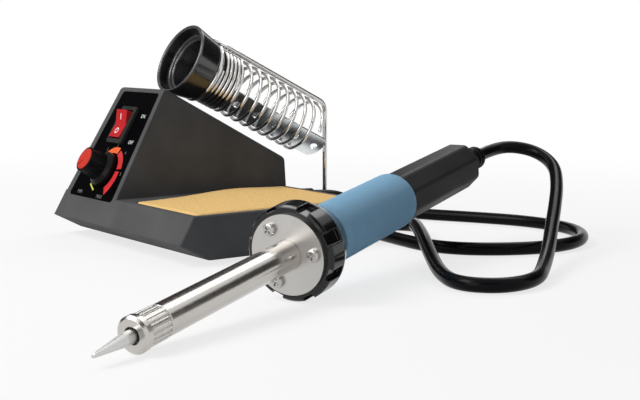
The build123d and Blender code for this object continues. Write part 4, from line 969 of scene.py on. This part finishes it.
@dataclass
class FoamGrip:
    """The soft sleeve on the iron's handle, flared towards the collar.

    Attributes:
        bench: The bench.
        tip: Place of the end of the tip.
        axis: Direction of the iron, from its tip to its cord.
        start: Where the sleeve begins, along the axis from the tip.
        end: Where it ends.
        inner: Its inner radius.
        front_radius: Its outer radius by the collar.
        radius: Its outer radius behind the flare.
        flare: Length of the flare.
        front_edge: Steps along the axis and out of the radius that round the front edge.
        rear_edge: The same for the rear edge.
        plain_margin: Length at each end that the edges take.
        plain_steps: Steps between the edges.
        unevenness: Height of the soft dents in its surface.
        sides: Steps around the sleeve.
    """

    bench: Bench
    tip: Point
    axis: Point = IRON_AXIS
    start: float = 128.95
    end: float = 191.95
    inner: float = 9.35
    front_radius: float = 13.35
    radius: float = 11.95
    flare: float = 9.0
    front_edge: tuple[tuple[float, float], ...] = ((0.0, -0.9), (0.3, -0.3), (1.1, 0.0))
    rear_edge: tuple[tuple[float, float], ...] = ((-1.0, -0.1), (-0.35, -0.45), (0.0, -1.2))
    plain_margin: float = 2.0
    plain_steps: int = 34
    unevenness: float = 0.09
    sides: int = 96

    def outline(self) -> list[tuple[float, float]]:
        """Give the sleeve's section.

        Returns:
            Places along the axis, each with its radius.
        """
        points = [(self.start, self.inner)]
        points += [(self.start + along, self.front_radius + out) for along, out in self.front_edge]
        length = self.end - self.start - 2 * self.plain_margin
        for step in range(self.plain_steps + 1):
            place = self.start + self.plain_margin + length * step / self.plain_steps
            part = min(1.0, (place - self.start) / self.flare)
            ease = part * part * (3 - 2 * part)
            points.append((place, self.front_radius + (self.radius - self.front_radius) * ease))
        points += [(self.end + along, self.radius + out) for along, out in self.rear_edge]
        points.append((self.end, self.inner))
        return points

    def dent(self, angle: float, place: float) -> float:
        """Give the depth of the soft dents at an angle around the sleeve and a place along it."""
        around = 4.0
        along = 0.35
        spot = Vector((math.cos(angle) * around, math.sin(angle) * around, place * along))
        return self.unevenness * (1 + noise.noise(spot))

    def build(self) -> bpy.types.Object:
        """Build the sleeve in place of the plain solid.

        Returns:
            The sleeve.
        """
        out = Vector(self.axis).normalized()
        across = out.cross(Vector((0.0, 0.0, 1.0))).normalized()
        up = across.cross(out)
        axis = Facing(self.bench.at(*self.tip), across, up, out)
        bm = bmesh.new()
        rings = []
        for place, radius in self.outline():
            ring = []
            for side in range(self.sides):
                angle = 2 * math.pi * side / self.sides
                reach = radius
                if radius > self.inner:
                    reach -= self.dent(angle, place)
                spot = axis.place(reach * math.cos(angle), reach * math.sin(angle), place)
                ring.append(bm.verts.new(spot))
            rings.append(ring)
        skin(bm, rings, closed=True)
        piece = mesh_object("grip_foam", bm, FOAM)
        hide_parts("grip_sleeve")
        return ride_on(piece, Body.IRON)


@dataclass
class IronCord:
    """The limp cord from the iron's boot over the bench to the gland in the rear wall.

    Attributes:
        bench: The bench.
        start: Where it leaves the boot.
        leaving: Direction in which it leaves the boot.
        diameter: Its diameter.
        length: Its real length; not used.
        sides: Steps around the cord.
        straight: Length of its straight start behind the boot.
        smoothness: Steps of the spline from one place of the route to the next.
        rest_height: Height meant for the part that stays with the station; not used.
        free_height: Height meant for the part that moves with the iron; not used.
        route: The places that it goes by.
        end: Where it goes into the gland.
    """

    bench: Bench
    start: Point
    leaving: Point = IRON_AXIS
    diameter: float = 6.0
    length: float = 744.0
    sides: int = 20
    straight: float = 18.0
    smoothness: int = 8
    rest_height: float = 16.0
    free_height: float = 40.0
    route: tuple[Point, ...] = (
        (138, 181, 44), (147, 190, 41.5), (162, 187, 36), (177, 173, 29), (190, 158, 22), (203, 142, 14.5),
        (217, 125.5, 8.3), (231, 108, 4.4), (243, 92, 3.1), (245, 72, 3.1), (231, 61, 3.1), (211, 70, 3.1),
        (187, 86, 5.5), (160, 104, 10.5), (135, 121, 10.5), (122, 134, 5.5), (111, 145, 3.6),
        (99.5, 145.5, 3.1), (92.5, 136.5, 3.1), (94.5, 125.5, 3.1), (104, 118, 3.1), (119, 115.5, 3.1),
        (137, 113, 3.1), (155, 111.5, 3.1), (171, 118, 3.1), (183, 132, 3.1), (191, 151, 3.1),
        (190, 173, 3.1), (177, 193, 3.1), (154, 206, 3.1), (126, 205, 3.1), (98, 192, 3.1), (74, 178, 3.1),
        (55, 165, 4.5), (47, 150, 10), (46, 139, 14),
    )
    end: Point = (46.0, 126.0, 14.0)

    def spline(self) -> list[Vector]:
        """Run a smooth spline by the route.

        Returns:
            Points along the spline, from the boot to the gland.
        """
        first = Vector(self.start)
        second = first + Vector(self.leaving).normalized() * self.straight
        places = [first, second, *(Vector(place) for place in self.route), Vector(self.end)]
        curve = bpy.data.curves.new("cord_route", "CURVE")
        curve.dimensions = "3D"
        curve.resolution_u = self.smoothness
        line = curve.splines.new("NURBS")
        line.points.add(len(places) - 1)
        for point, place in zip(line.points, places):
            point.co = (*self.bench.at(*place), 1.0)
        line.order_u = 3
        line.use_endpoint_u = True
        mesh = curve_mesh(curve)
        points = [vertex.co.copy() for vertex in mesh.vertices]
        bpy.data.meshes.remove(mesh)
        return points

    def build(self) -> bpy.types.Object:
        """Build the cord as a round tube along its spline.

        Returns:
            The cord.
        """
        path = self.spline()
        bm = bmesh.new()
        side = Vector((0.0, 0.0, 1.0))
        rings = []
        for index, place in enumerate(path):
            before = path[max(0, index - 1)]
            after = path[min(len(path) - 1, index + 1)]
            along = (after - before).normalized()
            side = (side - along * side.dot(along)).normalized()
            across = along.cross(side)
            ring = []
            for step in range(self.sides):
                angle = 2 * math.pi * step / self.sides
                reach = (side * math.cos(angle) + across * math.sin(angle)) * self.diameter / 2 * MM
                ring.append(bm.verts.new(place + reach))
            rings.append(ring)
        skin(bm, rings)
        piece = mesh_object("cord_line", bm, CORD)
        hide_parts("iron_cord")
        low = self.bench.at(0.0, 0.0, self.rest_height)
        high = self.bench.at(0.0, 0.0, self.free_height)
        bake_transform(piece)
        LOG.info("piece %s bends between station and iron", piece.name)
        return piece


@dataclass
class Studio:
    """The pale floor, the soft lamps and the camera.

    Attributes:
        bench: The bench.
        eye: Place of the camera.
        yaw: Turn of the view to the left of straight back, in radians.
        pitch: Fall of the view below level, in radians.
        focal_pixels: Focal length in pixels of the picture.
        image_width: Width of the picture in pixels.
        sensor: Width of the camera's sensor.
        clip: Nearest and furthest view, in metres.
        floor_half: Half the width of the floor, in metres.
        floor_drop: How far the floor lies below the bench, in metres.
        floor_colour: Colour of the floor under the lamps.
        fade_reach: Distances from the middle between which the floor turns white, in metres.
        fade_share: Shares of white at these distances.
        room_light: Strength of the room's own light.
    """

    bench: Bench
    eye: Point = (579.1, -260.8, 95.3)
    yaw: float = 0.9362
    pitch: float = 0.1262
    focal_pixels: float = 1250.0
    image_width: float = 640.0
    sensor: float = 36.0
    clip: tuple[float, float] = (0.01, 20.0)
    floor_half: float = 6.0
    floor_drop: float = 0.0002
    floor_colour: Colour = (0.82, 0.82, 0.82)
    fade_reach: tuple[float, float] = (0.16, 0.62)
    fade_share: tuple[float, float] = (0.76, 1.0)
    room_light: float = 0.2

    def camera(self) -> None:
        """Set up the camera at the photograph's view."""
        data = bpy.data.cameras.new("view")
        data.sensor_fit = "HORIZONTAL"
        data.sensor_width = self.sensor
        data.lens = self.focal_pixels / self.image_width * self.sensor
        data.clip_start, data.clip_end = self.clip
        forward = Vector((
            -math.sin(self.yaw) * math.cos(self.pitch),
            math.cos(self.yaw) * math.cos(self.pitch),
            -math.sin(self.pitch),
        ))
        right = Vector((math.cos(self.yaw), math.sin(self.yaw), 0.0))
        up = right.cross(forward)
        camera = bpy.data.objects.new("view", data)
        turn = Matrix((right, up, -forward)).transposed().to_4x4()
        camera.matrix_world = Matrix.Translation(self.bench.at(*self.eye)) @ turn
        bpy.context.collection.objects.link(camera)
        bpy.context.scene.camera = camera

    def white(self, name: str) -> bpy.types.Material:
        """Build the floor's material, white to the lens and to gloss, and matt under the lamps.

        Args:
            name: Name of the material.

        Returns:
            The material.
        """
        shader = Shader(name)
        tree = shader.tree
        shown = shown_rays(tree)
        matt = shader.add("ShaderNodeBsdfDiffuse")
        matt.inputs["Color"].default_value = (*self.floor_colour, 1.0)
        glow = shader.add("ShaderNodeEmission")
        glow.inputs["Strength"].default_value = 1.0
        reach = shader.add("ShaderNodeVectorMath", operation="LENGTH")
        shader.link(shader.place, reach.inputs[0])
        fade = shader.add("ShaderNodeMapRange", interpolation_type="SMOOTHSTEP")
        for way, values in (("From", self.fade_reach), ("To", self.fade_share)):
            for bound, value in zip(("Min", "Max"), values):
                fade.inputs[f"{way} {bound}"].default_value = value
        shader.link(reach.outputs["Value"], fade.inputs["Value"])
        share = shader.add("ShaderNodeMath", operation="MULTIPLY")
        shader.link(shown, share.inputs[0])
        shader.link(fade.outputs["Result"], share.inputs[1])
        mix = shader.add("ShaderNodeMixShader")
        for index, node in enumerate((share, matt, glow)):
            shader.link(node.outputs[0], mix.inputs[index])
        shader.link(mix.outputs[0], tree.nodes["Material Output"].inputs["Surface"])
        tree.nodes.remove(shader.surface)
        return shader.material

    def flat(self, name: str, half: float, material: bpy.types.Material) -> bpy.types.Object:
        """Lay a flat square that is part of the stage.

        Args:
            name: Name of the square.
            half: Half its width in metres.
            material: Its material.

        Returns:
            The square.
        """
        bm = bmesh.new()
        bmesh.ops.create_grid(bm, x_segments=1, y_segments=1, size=half)
        mesh = bpy.data.meshes.new(name)
        bm.to_mesh(mesh)
        bm.free()
        mesh.materials.append(material)
        square = bpy.data.objects.new(name, mesh)
        bpy.context.collection.objects.link(square)
        return square

    def floor(self) -> None:
        """Lay the floor."""
        floor = self.flat("floor", self.floor_half, self.white("floor_white"))
        floor.location = (0.0, 0.0, -self.floor_drop)

    def world(self) -> None:
        """Light the room evenly, white to the lens and to gloss."""
        world = bpy.data.worlds.new("room")
        world.use_nodes = True
        bpy.context.scene.world = world
        tree = world.node_tree
        back = tree.nodes["Background"]
        back.inputs["Color"].default_value = (1.0, 1.0, 1.0, 1.0)
        level = tree.nodes.new("ShaderNodeMapRange")
        level.inputs["To Min"].default_value = self.room_light
        level.inputs["To Max"].default_value = 1.0
        tree.links.new(shown_rays(tree), level.inputs["Value"])
        tree.links.new(level.outputs["Result"], back.inputs["Strength"])

    def lamp(self, name: str, place: Point, target: Point, size: float, power: float) -> None:
        """Hang a square soft lamp.

        Args:
            name: Name of the lamp.
            place: Its place on the bench.
            target: The place that it faces.
            size: Width of the lamp in metres.
            power: Its power in watts.
        """
        data = bpy.data.lights.new(name, "AREA")
        data.shape = "SQUARE"
        data.size = size
        data.energy = power
        lamp = bpy.data.objects.new(name, data)
        lamp.location = self.bench.at(*place)
        aim = self.bench.at(*target) - lamp.location
        lamp.rotation_euler = aim.to_track_quat("-Z", "Y").to_euler()
        bpy.context.collection.objects.link(lamp)

    def card(self, name: str, place: Point, target: Point, width: float, height: float) -> None:
        """Stand a dark card where only gloss shows it, for the dark strips on bright metal.

        Args:
            name: Name of the card.
            place: Its middle on the bench.
            target: The place that it faces.
            width: Its width in metres.
            height: Its height in metres.
        """
        card = self.flat(name, half=0.5, material=CARD.material())
        card.location = self.bench.at(*place)
        aim = self.bench.at(*target) - card.location
        card.rotation_euler = aim.to_track_quat("Z", "Y").to_euler()
        card.scale = (width, height, 1.0)
        card.visible_camera = False
        card.visible_diffuse = False
        card.visible_shadow = False

    def build(self) -> None:
        """Set up the whole studio."""
        bpy.context.scene.view_settings.view_transform = "Standard"
        self.camera()
        self.floor()
        self.world()
        middle = (130.0, 20.0, 40.0)
        barrel = (225.0, -40.0, 14.0)
        holder = (34.0, 90.0, 70.0)
        self.card("card_rear", (372.0, 832.0, 320.0), barrel, 0.5, 0.46)
        self.card("card_side", (-450.0, 365.0, 380.0), barrel, 0.4, 0.8)
        self.card("card_middle", (-100.0, 800.0, 380.0), holder, 0.5, 0.4)
        self.card("card_front", (640.0, -250.0, 380.0), holder, 0.5, 0.34)
        self.card("card_left", (-686.0, -360.0, 295.0), holder, 0.6, 0.5)
        self.lamp("key", (-60.0, -640.0, 760.0), middle, 0.5, 7.0)
        self.lamp("fill", (270.0, -820.0, 320.0), middle, 0.6, 2.6)
        self.lamp("rear", (-200.0, 620.0, 640.0), middle, 0.6, 2.6)


@dataclass
class Station:
    """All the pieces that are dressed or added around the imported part.

    Attributes:
        frame: The loaded frame.
        bench: The bench.
        iron_tip: Place of the end of the iron's tip.
        boot_end: Where the boot ends, along the iron from its tip.
    """

    frame: dict
    bench: Bench
    iron_tip: Point = (251.7, -102.4, 3.7679)
    boot_end: float = 278.0

    def dress(self) -> None:
        """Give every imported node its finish."""
        for finish, nodes in NODE_FINISH.items():
            for node in nodes:
                mesh = self.frame["nodes"][node].data
                mesh.materials.clear()
                mesh.materials.append(finish.material())
                LOG.info("node %s is %s", node, finish.name)

    def build(self) -> None:
        """Build the added pieces."""
        panel = panel_facing(self.bench)
        PanelPrint(panel).build()
        RockerMarks(panel).build()
        SpongePad(self.bench).build()
        FoamGrip(self.bench, self.iron_tip).build()
        leave = Vector(self.iron_tip) + Vector(IRON_AXIS).normalized() * self.boot_end
        IronCord(self.bench, tuple(leave)).build()


def corners(box: tuple[Vector, Vector]) -> list[list[float]]:
    """Give a box as plain lists of numbers."""
    return [[float(part) for part in corner] for corner in box]


def main() -> None:
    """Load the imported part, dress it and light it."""
    logging.basicConfig(level=logging.INFO, format="%(name)s: %(message)s")
    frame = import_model()
    bench = Bench.from_frame()
    station = Station(frame, bench)
    station.dress()
    station.build()
    Studio(bench).build()


if __name__ == "__main__":
    main()
